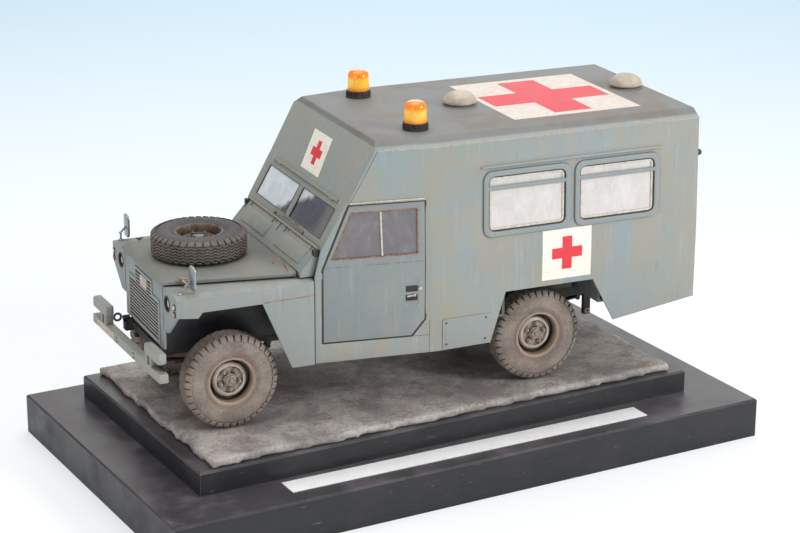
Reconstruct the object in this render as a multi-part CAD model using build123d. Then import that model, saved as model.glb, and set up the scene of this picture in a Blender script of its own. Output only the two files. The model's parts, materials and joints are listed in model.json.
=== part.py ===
import math
import os
from build123d import *

os.makedirs("parts", exist_ok=True)

# A hand-built 1:24 display model of a military ambulance truck on its two-step plinth, in millimetres.
# Inside the vehicle's own sizes x runs forward from the rear axle, y to the vehicle's left and z up
# from where the tyres stand. The part's origin is the middle of the plinth's underside.

# Plinth and groundwork
plinth_length = 231.2
plinth_width = 132.0
board_height = 14.5
step_length = 194.4
step_width = 101.3
step_height = 8.2
step_shift_x = 0.6
step_shift_y = -3.4
plinth_bevel = 0.6
plinth_yaw = 5.37
ground_height = 3.0
ground_margin = 1.6
ground_wander = 0.9
ground_points_along = 26
ground_points_across = 14
tyre_gap = 0.2
rear_axle_back = 43.2

# Wheels
wheelbase = 115.4
tyre_radius = 16.6
tyre_width = 8.6
lug_count = 24
lug_depth = 1.3
lug_reach = 2.6
lug_gap = 1.5
shoulder_drop = 1.4
sidewall_radius = 12.8
bead_gap = 0.1
wheel_face_y = 31.5
sidewall_bulge = 0.5
bead_radius = 8.6
bead_width = 6.4
rim_wall = 0.7
rim_flats = 12
nut_flats = 6
rim_well_radius = 7.3
disc_depth = 3.4
disc_thick = 0.7
dish_radius = 5.6
hub_radius = 2.0
hub_proud = 1.7
nut_count = 5
nut_circle = 3.6
nut_radius = 0.55
nut_proud = 0.7
drum_radius = 5.2
drum_depth = 3.0
hub_bore_radius = 1.15
running_gap = 0.3

# Places along the truck, each from the front axle or from the piece beside it
nose_overhang = 20.2
panel_x = wheelbase + nose_overhang
wing_front_x = panel_x
bonnet_lip = 1.0
bonnet_front_x = panel_x + bonnet_lip
bumper_standoff = 3.6
bumper_rear_x = panel_x + bumper_standoff
inner_arch_setback = 2.0
inner_arch_front_x = panel_x - inner_arch_setback
mirror_setback = 2.2
mirror_x = panel_x - mirror_setback
arch_ahead = 12.7
arch_lip = 1.5
arch_behind = 9.9
arch_tip_behind = 20.2
wing_arch_front_x = wheelbase + arch_ahead
wing_arch_lip_x = wing_arch_front_x - arch_lip
wing_arch_rear_x = wheelbase - arch_behind
wing_tip_x = wheelbase - arch_tip_behind
door_behind_axle = 31.2
door_length = 35.4
door_chamfer_run = 4.7
door_top_run = 9.2
door_front_x = wheelbase - door_behind_axle
door_rear_x = door_front_x - door_length
door_chamfer_x = door_rear_x + door_chamfer_run
door_top_front_x = door_front_x - door_top_run
window_rear_margin = 2.7
window_low_margin = 3.2
window_top_margin = 1.0
door_window_rear_x = door_rear_x + window_rear_margin
door_window_low_front_x = door_front_x - window_low_margin
door_window_top_front_x = door_top_front_x - window_top_margin
handle_ahead = 4.8
handle_x = door_rear_x + handle_ahead
pillar_width = 2.6
sill_front_x = door_front_x + pillar_width
nose_margin = 1.7
body_nose_x = sill_front_x + nose_margin
wing_joint = 0.3
wing_rear_x = sill_front_x + wing_joint
bend_behind_door = 4.2
bend_x = door_rear_x - bend_behind_door
partition_behind_door = 2.8
partition_x = door_rear_x - partition_behind_door
screen_setback = 0.2
screen_rake = 8.8
slope_rake = 11.3
screen_low_x = door_front_x + screen_setback
screen_top_x = screen_low_x - screen_rake
slope_top_x = screen_top_x - slope_rake
scuttle_rake = 7.0
scuttle_foot_x = screen_low_x + scuttle_rake
bonnet_joint = 0.6
bonnet_rear_x = scuttle_foot_x + bonnet_joint

# Axles, springs and steering
axle_radius = 1.5
backplate_thick = 0.8
stub_radius = 0.85
stub_reach = 2.2
diff_radius = 4.0
diff_y = -6.5
diff_nose = 3.6
kingpin_y = 19.6
ball_radius = 2.4
ball_flat = 2.0
ball_bands = 6
kingpin_radius = 0.55
kingpin_bore = 0.8
knuckle_arm_thick = 1.1
knuckle_arm_width = 2.6
steer_arm_back = 7.4
steer_arm_width = 1.4
steer_arm_thick = 0.9
rod_radius = 0.5
rod_forward = 0.22
eye_radius = 1.35
eye_bore = 0.75
eye_thick = 0.9
eye_pin_radius = 0.4
leaf_count = 3
leaf_thick = 0.6
leaf_width = 2.2
leaf_step_share = 0.22
leaf_bend_shares = (-1, -0.4, 0.4, 1)
leaf_overlap_share = 0.5
spring_y = 14.2
spring_sag = 2.4
front_spring_half = 19.0
rear_spring_half = 24.5
spring_pad = 0.6
spring_eye_radius = 0.9

# Chassis frame
rail_y = 14.2
rail_width = 3.2
rail_low_z = 23.6
rail_high_z = 27.4
rail_rear_x = -53.5
cross_width = 3.4
cross_drop = 0.8
rear_beam_inset = 11.65
outrigger_inset = 8.65
outrigger_low_z = 23.8
outrigger_high_z = 26.2
hanger_width = 1.8
tow_ring_radius = 2.8
tow_ring_wire = 0.9
tow_ring_flats = 12
tow_ring_back = 0.3
hanger_behind = 3.9
hanger_length = 2.8
hanger_thick = 1.6
hanger_low_z = 15.4

# Body shell
wall = 1.0
box_half_width = 41.65
flare = 0.159
tumble = 0.035
waist_z = 52.1
body_under_z = 10.0
side_top_z = 92.8
roof_z = 95.6
roof_half_width = 35.8
rear_x = -57.0
rear_low_z = 26.9
screen_top_z = 75.4
screen_low_z = 60.4
sill_front_z = 20.2
sill_rear_z = 21.0
arch_foot_x = 24.2
arch_front_x = 18.6
arch_rear_x = -15.6
arch_tail_x = -24.4
arch_tail_z = 22.5
arch_top_z = 38.8

# Front doors
door_low_z = 27.2
door_chamfer_z = 33.0
door_kink_z = 53.2
door_top_z = 74.9
door_gap = 0.25
door_window_low_z = 56.6
door_window_top_z = 72.3
handle_z = 42.6
handle_length = 4.2
handle_height = 5.6
handle_depth = 0.6
lever_thick = 0.5
drip_height = 0.6

# Box windows and gutter
pane_frame_height = 23.2
pane_front_margin = 17.1
pane_rear_margin = 16.0
pane_gap = 1.7
pane_frame_low_z = 59.2
pane_frame_width = 1.9
pane_frame_proud = 0.6
pane_corner = 3.2
pane_bar_share = 0.74
pane_bar_height = 1.3
glass_thick = 0.4
glass_inset = 0.3
gutter_z = 83.6
gutter_front_margin = 16.2
gutter_rear_margin = 15.0
gutter_height = 0.7
gutter_proud = 0.7

# Rear end
rear_door_half = 31.0
rear_door_low_z = 30.8
rear_door_top_z = 84.0
rear_window_half = 9.0
rear_window_low_z = 58.0
rear_window_top_z = 76.0
rear_window_corner = 2.5
rear_hinge_zs = (38.0, 57.0, 77.5)
hinge_height = 2.6
hinge_radius = 0.7
hinge_gap = 0.1

tail_lamp_radius = 1.6
tail_lamp_proud = 0.9
tail_lamp_inset = 5.2
tail_lamp_zs = (38.4, 42.4)

# Windscreen and scuttle
pane_half_gap = 1.9
screen_side = 3.2
screen_margin_low = 2.2
screen_margin_top = 3.0
scuttle_foot_z = 52.6
scuttle_low_z = 50.9
scuttle_inset = 1.8
flap_proud = 0.35
flap_length = 11.5
flap_y = 16.5
flap_share_low = 0.2
flap_share_top = 0.72

# Bonnet and spare wheel
bonnet_front_half = 22.6
bonnet_rear_half = 31.2
bonnet_low_z = 51.0
bonnet_edge_z = 52.1
bonnet_crown_z = 53.0
bonnet_shoulder_z = 52.75
bonnet_shoulder = 1.3
bonnet_nose_drop = 1.0
bonnet_crown_inset = 13.0
bonnet_nose_run = 3.4
bonnet_wall = 0.9
spare_gap = 0.15
spare_boss_proud = 0.9

# Front wings
wing_step = 0.11
wing_wall = 0.9
wing_top_z = 50.4
wing_edge_z = 49.4
wing_nose_z = 43.2
wing_arch_top_z = 44.2
wing_tip_z = 20.0
wing_inner_front_y = 21.1
wing_inner_rear_y = 30.4
wing_cheek_drop = 8.2
lamp_y = 25.4
lamp_z = 45.4
lamp_hole_radius = 2.5
lamp_radius = 2.9
lamp_depth = 3.2
lamp_flats = 12
marker_radius = 0.95
marker_proud = 0.35
marker_inset = 1.7
marker_zs = (47.3, 44.9)

# Radiator panel
panel_thick = 1.0
panel_half = 20.4
panel_low_z = 27.6
panel_top_z = 50.7
grille_half = 15.8
grille_upper_half = 8.4
grille_shift_y = 0.9
grille_shoulder_z = 43.2
grille_low_z = 29.4
grille_top_z = 47.8
grille_wall = 0.9
grille_proud = 0.5
slat_count = 14
slat_thick = 0.4
slat_depth = 1.3
slat_tilt = 35.0
grille_stay_count = 2
grille_stay_width = 0.6

# Front bumper
bumper_depth = 3.2
bumper_inset = 1.0
bumper_low_z = 20.9
bumper_high_z = 24.1
bumper_yaw = 2.0
rider_inner_y = 19.4
rider_low_z = 27.2
rider_high_z = 30.4
rider_round = 0.8
rider_post_width = 1.6
rider_post_outer_width = 4.8

# Inner arches, floor and cab
inner_arch_y = 16.8
inner_arch_wall = 0.8
inner_arch_low_z = 26.0
cab_floor_z = 28.6
box_floor_z = 30.4
floor_thick = 1.0
floor_margin = 0.2
wheel_box_front_x = 19.4
wheel_box_rear_x = -19.4
wheel_box_inner_y = 20.6
wheel_box_top_z = 40.2
partition_door_half = 9.0
partition_door_low_z = 36.0
partition_door_top_z = 84.0
seat_box_ahead = 1.2
seat_box_length = 15.0
seat_box_rear_x = door_rear_x + seat_box_ahead
seat_box_front_x = seat_box_rear_x + seat_box_length
seat_box_top_z = 38.6
seat_width = 19.0
seat_y = 17.0
seat_depth = 14.0
seat_thick = 3.0
seat_back_height = 17.0
seat_back_thick = 2.6
seat_back_rake = 10.0
seat_round = 0.9
dash_depth = 5.0
dash_low_z = 50.0
dash_high_z = 56.0
steer_wheel_radius = 8.2
steer_wheel_rim = 0.8
steer_wheel_flats = 12
steer_wheel_setback = 10.7
steer_wheel_x = door_front_x - steer_wheel_setback
steer_wheel_y = 17.0
steer_wheel_z = 55.0
steer_column_radius = 0.7
steer_column_rake = 50.0
steer_column_length = 12.0

# Under the bonnet and floor
engine_ahead = 10.6
engine_length = 26.0
engine_front_x = wheelbase + engine_ahead
engine_rear_x = engine_front_x - engine_length
gearbox_length = 24.0
gearbox_rear_x = engine_rear_x - gearbox_length
engine_half = 6.5
engine_low_z = 25.6
engine_high_z = 45.0
gearbox_half = 4.4
gearbox_low_z = 19.6
gearbox_high_z = 27.2
prop_radius = 1.0
tank_front_setback = 6.8
tank_length = 24.0
tank_front_x = sill_front_x - tank_front_setback
tank_rear_x = tank_front_x - tank_length
tank_seat_gap = 0.3
tank_inner_y = rail_y + rail_width / 2 + tank_seat_gap
tank_outer_inset = 10.65
tank_low_z = 21.6
tank_high_z = 25.6
tank_round = 1.2
pipe_radius = 0.9
silencer_radius = 2.4
silencer_flats = 12
silencer_behind = 24.0
silencer_length = 22.0
silencer_front_x = gearbox_rear_x - silencer_behind
silencer_rear_x = silencer_front_x - silencer_length
pipe_y = 9.2
pipe_z = 21.4
pipe_end_x = -55.0

# Roof fittings and mirrors
beacon_behind = 18.7
beacon_x = slope_top_x - beacon_behind
beacon_y = 24.7
beacon_flats = 12
beacon_shoulder = 1.6
beacon_base_radius = 4.4
beacon_base_height = 2.5
beacon_lens_radius = 4.0
beacon_top_radius = 3.7
beacon_height = 9.9
beacon_wall = 0.6
vent_radius = 5.8
vent_height = 4.6
vent_lip = 0.8
vent_flats = 14
vent_bands = 4
vent_front_margin = 27.4
vent_rear_margin = 7.0
vent_xs = (bend_x - vent_front_margin, rear_x + vent_rear_margin)
mirror_inset = 2.8
mirror_back = 4.6
mirror_stalk_radius = 0.35
mirror_height = 8.4
mirror_width = 5.0
mirror_thick = 0.7
mirror_low = 0.9

overrun = 4.0
small_flats = 8
corner_flats = 3
stand_height = board_height + step_height + ground_height + tyre_gap
vehicle_place = Pos(-rear_axle_back, 0, stand_height)
screen_rise = screen_top_z - screen_low_z
screen_run = wall * math.hypot(screen_low_x - screen_top_x, screen_rise) / screen_rise
slope_rise = roof_z - screen_top_z
slope_run = wall * math.hypot(screen_top_x - slope_top_x, slope_rise) / slope_rise
wheel_y = wheel_face_y - tyre_width / 2
wing_half = box_half_width - flare * (wing_rear_x - bend_x) + wing_step
scuttle_half = wing_half - scuttle_inset
mirror_y = wing_half - mirror_inset
marker_y = wing_half - marker_inset
bumper_half = wing_half - bumper_inset
wing_cheek_z = wing_nose_z - wing_cheek_drop
rear_beam_half = box_half_width - rear_beam_inset
outrigger_half = box_half_width - outrigger_inset
tank_outer_y = box_half_width - tank_outer_inset
disc_y = wheel_face_y - disc_depth
backplate_y = disc_y - disc_thick - drum_depth - running_gap
pane_frame_length = (bend_x - rear_x - pane_front_margin - pane_rear_margin - pane_gap) / 2
pane_frame_front_xs = (bend_x - pane_front_margin, bend_x - pane_front_margin - pane_frame_length - pane_gap)
gutter_front_x = bend_x - gutter_front_margin
gutter_rear_x = rear_x + gutter_rear_margin
rail_front_x = bumper_rear_x - (rail_y + rail_width) * math.sin(math.radians(bumper_yaw))


def block(x0, x1, y0, y1, z0, z1):
    return Pos((x0 + x1) / 2, (y0 + y1) / 2, (z0 + z1) / 2) * Box(x1 - x0, y1 - y0, z1 - z0)


def across(points, y0, y1):
    # A plate whose outline is given as x, z and whose faces are at y0 and y1
    return extrude(Plane.XZ.offset(-y1) * Polygon(*points, align=None), y1 - y0, dir=(0, -1, 0))


def along(points, x0, x1):
    # A plate whose outline is given as y, z and whose faces are at x0 and x1
    return extrude(Plane.YZ.offset(x0) * Polygon(*points, align=None), x1 - x0, dir=(1, 0, 0))


def upward(points, z0, z1):
    # A plate whose outline is given as x, y and whose faces are at z0 and z1
    return extrude(Plane.XY.offset(z0) * Polygon(*points, align=None), z1 - z0, dir=(0, 0, 1))


def rod(start, end, radius, flats=small_flats):
    # A straight bar with flat sides
    run = Vector(*end) - Vector(*start)
    base = Plane(origin=start, z_dir=run)
    return extrude(base * RegularPolygon(radius, flats), run.length, dir=base.z_dir)


def pin(start, end, radius):
    # A round bar, for what turns
    run = Vector(*end) - Vector(*start)
    base = Plane(origin=start, z_dir=run)
    return base * Cylinder(radius, run.length, align=(Align.CENTER, Align.CENTER, Align.MIN))


def turned(outline, flats):
    # A closed outline of radius, y carried round the y axis in flat facets
    rings = []
    for radius, y in outline:
        turns = [math.tau * (i + 0.5) / flats for i in range(flats)]
        rings.append((radius, [Vector(radius * math.cos(t), y, radius * math.sin(t)) for t in turns]))
    faces = []
    for (low_radius, low), (high_radius, high) in zip(rings, rings[1:] + rings[:1]):
        if low_radius == 0 and high_radius == 0:
            continue
        for i in range(flats):
            j = (i + 1) % flats
            corners = [low[i], low[j]] if low_radius else [low[i]]
            corners += [high[j], high[i]] if high_radius else [high[i]]
            faces.append(Face(Wire.make_polygon(corners, close=True)))
    return Solid(Shell(faces))


def ball(radius, flats=small_flats):
    turns = [math.pi * i / ball_bands for i in range(ball_bands + 1)]
    ends = (0, ball_bands)
    outline = []
    for i, turn in enumerate(turns):
        outline.append((0 if i in ends else radius * math.sin(turn), radius * math.cos(turn)))
    return turned(outline, flats)


def soft_rectangle(length, height, corner):
    # A rectangle whose corners are rounded in a few flats
    points = []
    for quarter, (along_x, up) in enumerate(((1, 1), (-1, 1), (-1, -1), (1, -1))):
        for i in range(corner_flats + 1):
            turn = math.pi / 2 * (quarter + i / corner_flats)
            x = along_x * (length / 2 - corner) + corner * math.cos(turn)
            points.append((x, up * (height / 2 - corner) + corner * math.sin(turn)))
    return Polygon(*points, align=None)


def on_side(shape, side):
    # The left one as modelled, the right one mirrored
    if side > 0:
        return shape
    return mirror(shape, Plane.XZ)


def save(name, shape, placed=True):
    export_step(vehicle_place * shape if placed else shape, "parts/" + name + ".step")


# Body volume: one cross-section, straight along the box and narrowing forward from the bend
def body_section(x, inset):
    narrowing = max(x - bend_x, 0) * flare
    low = box_half_width - narrowing - inset
    high = low - tumble * (side_top_z - waist_z)
    edge = roof_half_width - narrowing - inset / 2
    half = [(low, body_under_z), (low, waist_z), (high, side_top_z - inset / 2), (edge, roof_z - inset)]
    other = [(-y, z) for y, z in reversed(half)]
    return Plane.YZ.offset(x) * Polygon(*half, *other, align=None)


def body_volume(inset):
    box_part = extrude(body_section(rear_x, inset), bend_x - rear_x, dir=(1, 0, 0))
    cab_part = loft([body_section(bend_x, inset), body_section(body_nose_x, inset)], ruled=True)
    return box_part + cab_part


outer_body = body_volume(0)
inner_body = body_volume(wall)
body_skin = outer_body - inner_body
frame_skin = body_volume(-pane_frame_proud) - outer_body
gutter_skin = body_volume(-gutter_proud) - outer_body
glass_skin = body_volume(glass_inset) - body_volume(glass_inset + glass_thick)
half_span = box_half_width + overrun


def left_of(skin, outline):
    # The left half of a skin inside an outline of x, z points
    return skin & across(outline, 0, half_span)


# Plinth
def plinth_base():
    board = Box(plinth_length, plinth_width, board_height, align=(Align.CENTER, Align.CENTER, Align.MIN))
    board = chamfer(board.faces().sort_by(Axis.Z)[-1].edges(), plinth_bevel)
    return Rot(0, 0, plinth_yaw) * board


def plinth_step():
    board = Box(step_length, step_width, step_height, align=(Align.CENTER, Align.CENTER, Align.MIN))
    board = chamfer(board.faces().sort_by(Axis.Z)[-1].edges(), plinth_bevel)
    return Rot(0, 0, plinth_yaw) * (Pos(step_shift_x, step_shift_y, board_height) * board)


def groundwork():
    # A slab of plaster ground whose edge wanders in and out
    half_x = step_length / 2 - ground_margin
    half_y = step_width / 2 - ground_margin
    rim = []
    for i in range(ground_points_along):
        rim.append((-half_x + 2 * half_x * i / ground_points_along, -half_y, 0))
    for i in range(ground_points_across):
        rim.append((half_x, -half_y + 2 * half_y * i / ground_points_across, 0))
    for i in range(ground_points_along):
        rim.append((half_x - 2 * half_x * i / ground_points_along, half_y, 0))
    for i in range(ground_points_across):
        rim.append((-half_x, half_y - 2 * half_y * i / ground_points_across, 0))
    points = []
    for i, (x, y, _) in enumerate(rim):
        pull = 1 - ground_wander * (1 + math.sin(i * i * 1.7)) / (2 * half_y)
        points.append((x * pull, y * pull))
    top = board_height + step_height
    slab = upward(points, top, top + ground_height)
    return Rot(0, 0, plinth_yaw) * (Pos(step_shift_x, step_shift_y, 0) * slab)


# Wheels, each made about its own middle with its outer face toward positive y
def make_tyre():
    half = tyre_width / 2
    outer = tyre_radius / math.cos(math.pi / lug_count)
    bead = (bead_radius + bead_gap) / math.cos(math.pi / lug_count)
    side = [
        (bead, bead_width / 2),
        (sidewall_radius, half),
        (outer - shoulder_drop, half - sidewall_bulge),
        (outer, half - sidewall_bulge - shoulder_drop),
    ]
    other = [(radius, -y) for radius, y in reversed(side)]
    carcass = turned(side + other, lug_count)
    notch = [(0, outer - lug_depth), (lug_gap / 2, outer + overrun), (-lug_gap / 2, outer + overrun)]
    cut = across(notch, half - lug_reach, half + overrun)
    cuts = []
    for i in range(lug_count):
        turn = 360 * (i + 0.5) / lug_count
        for shoulder in (1, -1):
            cuts.append(Rot(0, turn, 0) * on_side(cut, shoulder))
    return carcass - cuts


def make_rim(with_hub):
    bead = bead_width / 2
    face = tyre_width / 2 - disc_depth
    bowl = rim_well_radius - rim_wall
    drum_end = face - disc_thick - drum_depth
    outline = [
        (0, face),
        (dish_radius - disc_thick, face),
        (dish_radius, face - disc_thick),
        (bowl, face - disc_thick),
        (bowl, bead),
        (bead_radius, bead),
        (rim_well_radius, 0),
        (bead_radius, -bead),
        (bowl, -bead),
        (bowl, face - 2 * disc_thick),
    ]
    if with_hub:
        outline += [(drum_radius, face - 2 * disc_thick), (drum_radius, drum_end), (0, drum_end)]
    else:
        outline += [(0, face - 2 * disc_thick)]
    wheel = turned(outline, rim_flats)
    for i in range(nut_count):
        turn = math.tau * i / nut_count
        x = nut_circle * math.cos(turn)
        z = nut_circle * math.sin(turn)
        wheel += rod((x, face - disc_thick / 2, z), (x, face + nut_proud, z), nut_radius, nut_flats)
    if with_hub:
        wheel += rod((0, face - disc_thick / 2, 0), (0, face + hub_proud, 0), hub_radius, rim_flats)
        return wheel - pin((0, drum_end - overrun, 0), (0, face - disc_thick, 0), hub_bore_radius)
    return wheel - rod((0, face - overrun, 0), (0, face + overrun, 0), hub_radius, rim_flats)


# Axles with their leaf springs
def leaf(centre_x, half_length, low_z, thick):
    rise = spring_sag * (half_length / rear_spring_half) ** 2
    lower = [(centre_x + half_length * s, low_z + rise * s * s) for s in leaf_bend_shares]
    upper = [(x, z + thick) for x, z in reversed(lower)]
    return across(lower + upper, spring_y - leaf_width / 2, spring_y + leaf_width / 2)


def spring(centre_x, half_length):
    # The longest leaf lies on top and carries the eyes
    low_z = tyre_radius + axle_radius + spring_pad
    pack = leaf(centre_x, half_length, low_z + (leaf_count - 1) * leaf_thick, leaf_thick)
    for i in range(1, leaf_count):
        share = 1 - leaf_step_share * i
        leaf_low = low_z + (leaf_count - 1 - i) * leaf_thick
        pack += leaf(centre_x, half_length * share, leaf_low, leaf_thick * (1 + leaf_overlap_share))
    for end in (-1, 1):
        eye_x = centre_x + end * half_length
        eye_z = spring_eye_z(half_length)
        inner = (eye_x, spring_y - leaf_width / 2, eye_z)
        outer = (eye_x, spring_y + leaf_width / 2, eye_z)
        pack += rod(inner, outer, spring_eye_radius)
    pad = block(
        centre_x - leaf_width,
        centre_x + leaf_width,
        spring_y - leaf_width / 2,
        spring_y + leaf_width / 2,
        tyre_radius,
        low_z + leaf_thick,
    )
    return pack + pad


def spring_eye_z(half_length):
    low_z = tyre_radius + axle_radius + spring_pad + (leaf_count - 1) * leaf_thick
    return low_z + spring_sag * (half_length / rear_spring_half) ** 2


def axle_tube(x, half_length, nose_end):
    tube = rod((x, -half_length, tyre_radius), (x, half_length, tyre_radius), axle_radius)
    tube += Pos(x, diff_y, tyre_radius) * ball(diff_radius)
    nose_x = x + nose_end * (diff_radius + diff_nose)
    tube += rod((x, diff_y, tyre_radius), (nose_x, diff_y, tyre_radius), axle_radius)
    return tube


def rear_axle():
    half = backplate_y
    axle = axle_tube(0, half, 1)
    for side in (1, -1):
        plate = rod((0, half - backplate_thick, tyre_radius), (0, half, tyre_radius), drum_radius, rim_flats)
        stub = rod((0, half - overrun, tyre_radius), (0, half + stub_reach, tyre_radius), stub_radius)
        axle += on_side(plate + stub, side)
        axle += on_side(spring(0, rear_spring_half), side)
    return axle


def front_axle():
    axle = axle_tube(wheelbase, kingpin_y, -1)
    for side in (1, -1):
        end_place = Pos(wheelbase, side * kingpin_y, tyre_radius)
        end_ball = ball(ball_radius) & Box(2 * ball_radius, 2 * ball_radius, 2 * ball_flat)
        bore = rod((0, 0, -ball_radius), (0, 0, ball_radius), kingpin_bore)
        axle = axle + end_place * end_ball - end_place * bore
        axle += on_side(spring(wheelbase, front_spring_half), side)
    return axle


def knuckle(side):
    # A yoke above and below the axle's ball, its pins in the ball, with backplate, stub and steering arm
    inner_y = kingpin_y - knuckle_arm_width / 2
    plate_back = (wheelbase, backplate_y - backplate_thick, tyre_radius)
    yoke = rod(plate_back, (wheelbase, backplate_y, tyre_radius), drum_radius, rim_flats)
    yoke += rod(plate_back, (wheelbase, backplate_y + stub_reach, tyre_radius), stub_radius)
    arm_low = ball_flat + running_gap
    for up in (1, -1):
        z0 = tyre_radius + min(up * arm_low, up * (arm_low + knuckle_arm_thick))
        arm = block(
            wheelbase - knuckle_arm_width / 2,
            wheelbase + knuckle_arm_width / 2,
            inner_y,
            backplate_y - backplate_thick / 2,
            z0,
            z0 + knuckle_arm_thick,
        )
        pin_end = tyre_radius + up * ball_flat / 2
        yoke += arm + rod((wheelbase, kingpin_y, z0), (wheelbase, kingpin_y, pin_end), kingpin_radius)
    arm_z = tyre_radius - arm_low - knuckle_arm_thick
    back_x = wheelbase - steer_arm_back
    yoke += block(
        back_x,
        wheelbase,
        kingpin_y - steer_arm_width / 2,
        kingpin_y + steer_arm_width / 2,
        arm_z,
        arm_z + steer_arm_thick,
    )
    yoke += rod((back_x, kingpin_y, arm_z + steer_arm_thick), (back_x, kingpin_y, arm_z), steer_arm_width / 2)
    pin_low = arm_z - running_gap - eye_thick
    yoke += rod((back_x, kingpin_y, arm_z), (back_x, kingpin_y, pin_low), eye_pin_radius)
    return on_side(yoke, side)


def track_rod():
    arm_low = tyre_radius - ball_flat - running_gap - knuckle_arm_thick
    x = wheelbase - steer_arm_back + rod_forward
    z = arm_low - running_gap - eye_thick / 2
    bar = rod((x, -kingpin_y, z), (x, kingpin_y, z), rod_radius)
    for side in (1, -1):
        eye_low = (x, side * kingpin_y, z - eye_thick / 2)
        eye_high = (x, side * kingpin_y, z + eye_thick / 2)
        bar += rod(eye_low, eye_high, eye_radius)
    for side in (1, -1):
        bar -= rod((x, side * kingpin_y, z - eye_thick), (x, side * kingpin_y, z + eye_thick), eye_bore)
    return bar


# Chassis frame
def chassis_frame():
    frame = None
    for side in (1, -1):
        y0 = side * rail_y - rail_width / 2
        rail = block(rail_rear_x, rail_front_x, y0, y0 + rail_width, rail_low_z, rail_high_z)
        frame = rail if frame is None else frame + rail
        for axle_x, half in ((0, rear_spring_half), (wheelbase, front_spring_half)):
            for end in (1, -1):
                eye_x = axle_x + end * half
                foot_z = spring_eye_z(half) + spring_eye_radius
                frame += block(
                    eye_x - hanger_width / 2, eye_x + hanger_width / 2, y0, y0 + rail_width, foot_z, rail_high_z
                )
        hanger_x = -rear_spring_half - hanger_behind
        frame += block(
            hanger_x - hanger_length / 2,
            hanger_x + hanger_length / 2,
            side * rail_y - hanger_thick / 2,
            side * rail_y + hanger_thick / 2,
            hanger_low_z,
            rail_low_z + cross_drop,
        )
    cross_low = rail_low_z + cross_drop
    cross_high = rail_high_z - cross_drop
    cross_xs = (rear_spring_half + cross_width, gearbox_rear_x - 2 * cross_width, wheelbase + front_spring_half)
    for x in cross_xs:
        frame += block(x - cross_width / 2, x + cross_width / 2, -rail_y, rail_y, cross_low, cross_high)
    frame += block(
        rail_rear_x - cross_width / 2,
        rail_rear_x + cross_width / 2,
        -rear_beam_half,
        rear_beam_half,
        rail_low_z,
        rail_high_z,
    )
    for x in (sill_front_x - cross_width, door_rear_x + cross_width):
        for side in (1, -1):
            arm = block(
                x - cross_width / 2,
                x + cross_width / 2,
                rail_y,
                outrigger_half,
                outrigger_low_z,
                outrigger_high_z,
            )
            frame += on_side(arm, side)
    ring_inner = tow_ring_radius - tow_ring_wire
    ring_half = tow_ring_wire / 2
    ring_outline = [
        (ring_inner, -ring_half),
        (tow_ring_radius, -ring_half),
        (tow_ring_radius, ring_half),
        (ring_inner, ring_half),
    ]
    ring = turned(ring_outline, tow_ring_flats)
    ring_place = Pos(rail_front_x - tow_ring_back, -rail_y, rail_high_z + ring_inner)
    return frame + ring_place * Rot(0, 0, 90) * ring


def front_bumper():
    front_x = bumper_rear_x + bumper_depth
    bar = block(bumper_rear_x, front_x, -bumper_half, bumper_half, bumper_low_z, bumper_high_z)
    for side in (1, -1):
        top = block(bumper_rear_x, front_x, rider_inner_y, bumper_half, rider_low_z, rider_high_z)
        top = chamfer(top.edges().filter_by(Axis.X).group_by(Axis.Z)[-1], rider_round)
        inner_post = block(
            bumper_rear_x, front_x, rider_inner_y, rider_inner_y + rider_post_width, bumper_low_z, rider_low_z
        )
        outer_post = block(
            bumper_rear_x, front_x, bumper_half - rider_post_outer_width, bumper_half, bumper_low_z, rider_low_z
        )
        bar += on_side(top + inner_post + outer_post, side)
    return Pos(bumper_rear_x, 0, 0) * (Rot(0, 0, bumper_yaw) * (Pos(-bumper_rear_x, 0, 0) * bar))


# Radiator panel with its slatted grille, narrower at the top
def grille_outline(margin):
    # Points of y, z round the grille's opening, widened by a margin
    right = [
        (grille_half + margin, grille_low_z - margin),
        (grille_half + margin, grille_shoulder_z + margin),
        (grille_upper_half + margin, grille_shoulder_z + margin),
        (grille_upper_half + margin, grille_top_z + margin),
    ]
    left = [(-y, z) for y, z in reversed(right)]
    return [(y + grille_shift_y, z) for y, z in right + left]


def radiator_panel():
    panel = block(panel_x - panel_thick, panel_x, -panel_half, panel_half, panel_low_z, panel_top_z)
    opening = along(grille_outline(0), panel_x - overrun, panel_x + overrun)
    surround = along(grille_outline(grille_wall), panel_x - panel_thick, panel_x + grille_proud)
    panel = panel + surround - opening
    pitch = (grille_top_z - grille_low_z) / (slat_count + 1)
    for i in range(slat_count):
        z = grille_low_z + pitch * (i + 1)
        slat = Pos(panel_x - slat_depth / 4, grille_shift_y, z) * (
            Rot(0, slat_tilt, 0) * Box(slat_depth, 2 * grille_half, slat_thick)
        )
        panel += slat & opening
    stay_gap = 2 * grille_upper_half / (grille_stay_count + 1)
    for i in range(grille_stay_count):
        y = grille_shift_y - grille_upper_half + stay_gap * (i + 1)
        panel += block(
            panel_x - panel_thick,
            panel_x - slat_depth / 4,
            y - grille_stay_width / 2,
            y + grille_stay_width / 2,
            grille_low_z,
            grille_top_z,
        )
    return panel


# Front wings
wing_outline = [
    (wing_rear_x, wing_tip_z),
    (wing_rear_x, wing_top_z),
    (wing_front_x, wing_top_z),
    (wing_front_x, wing_nose_z),
    (wing_arch_front_x, wing_nose_z - wing_wall),
    (wing_arch_lip_x, wing_arch_top_z),
    (wing_arch_rear_x, wing_arch_top_z),
    (wing_tip_x, wing_tip_z),
]


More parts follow.
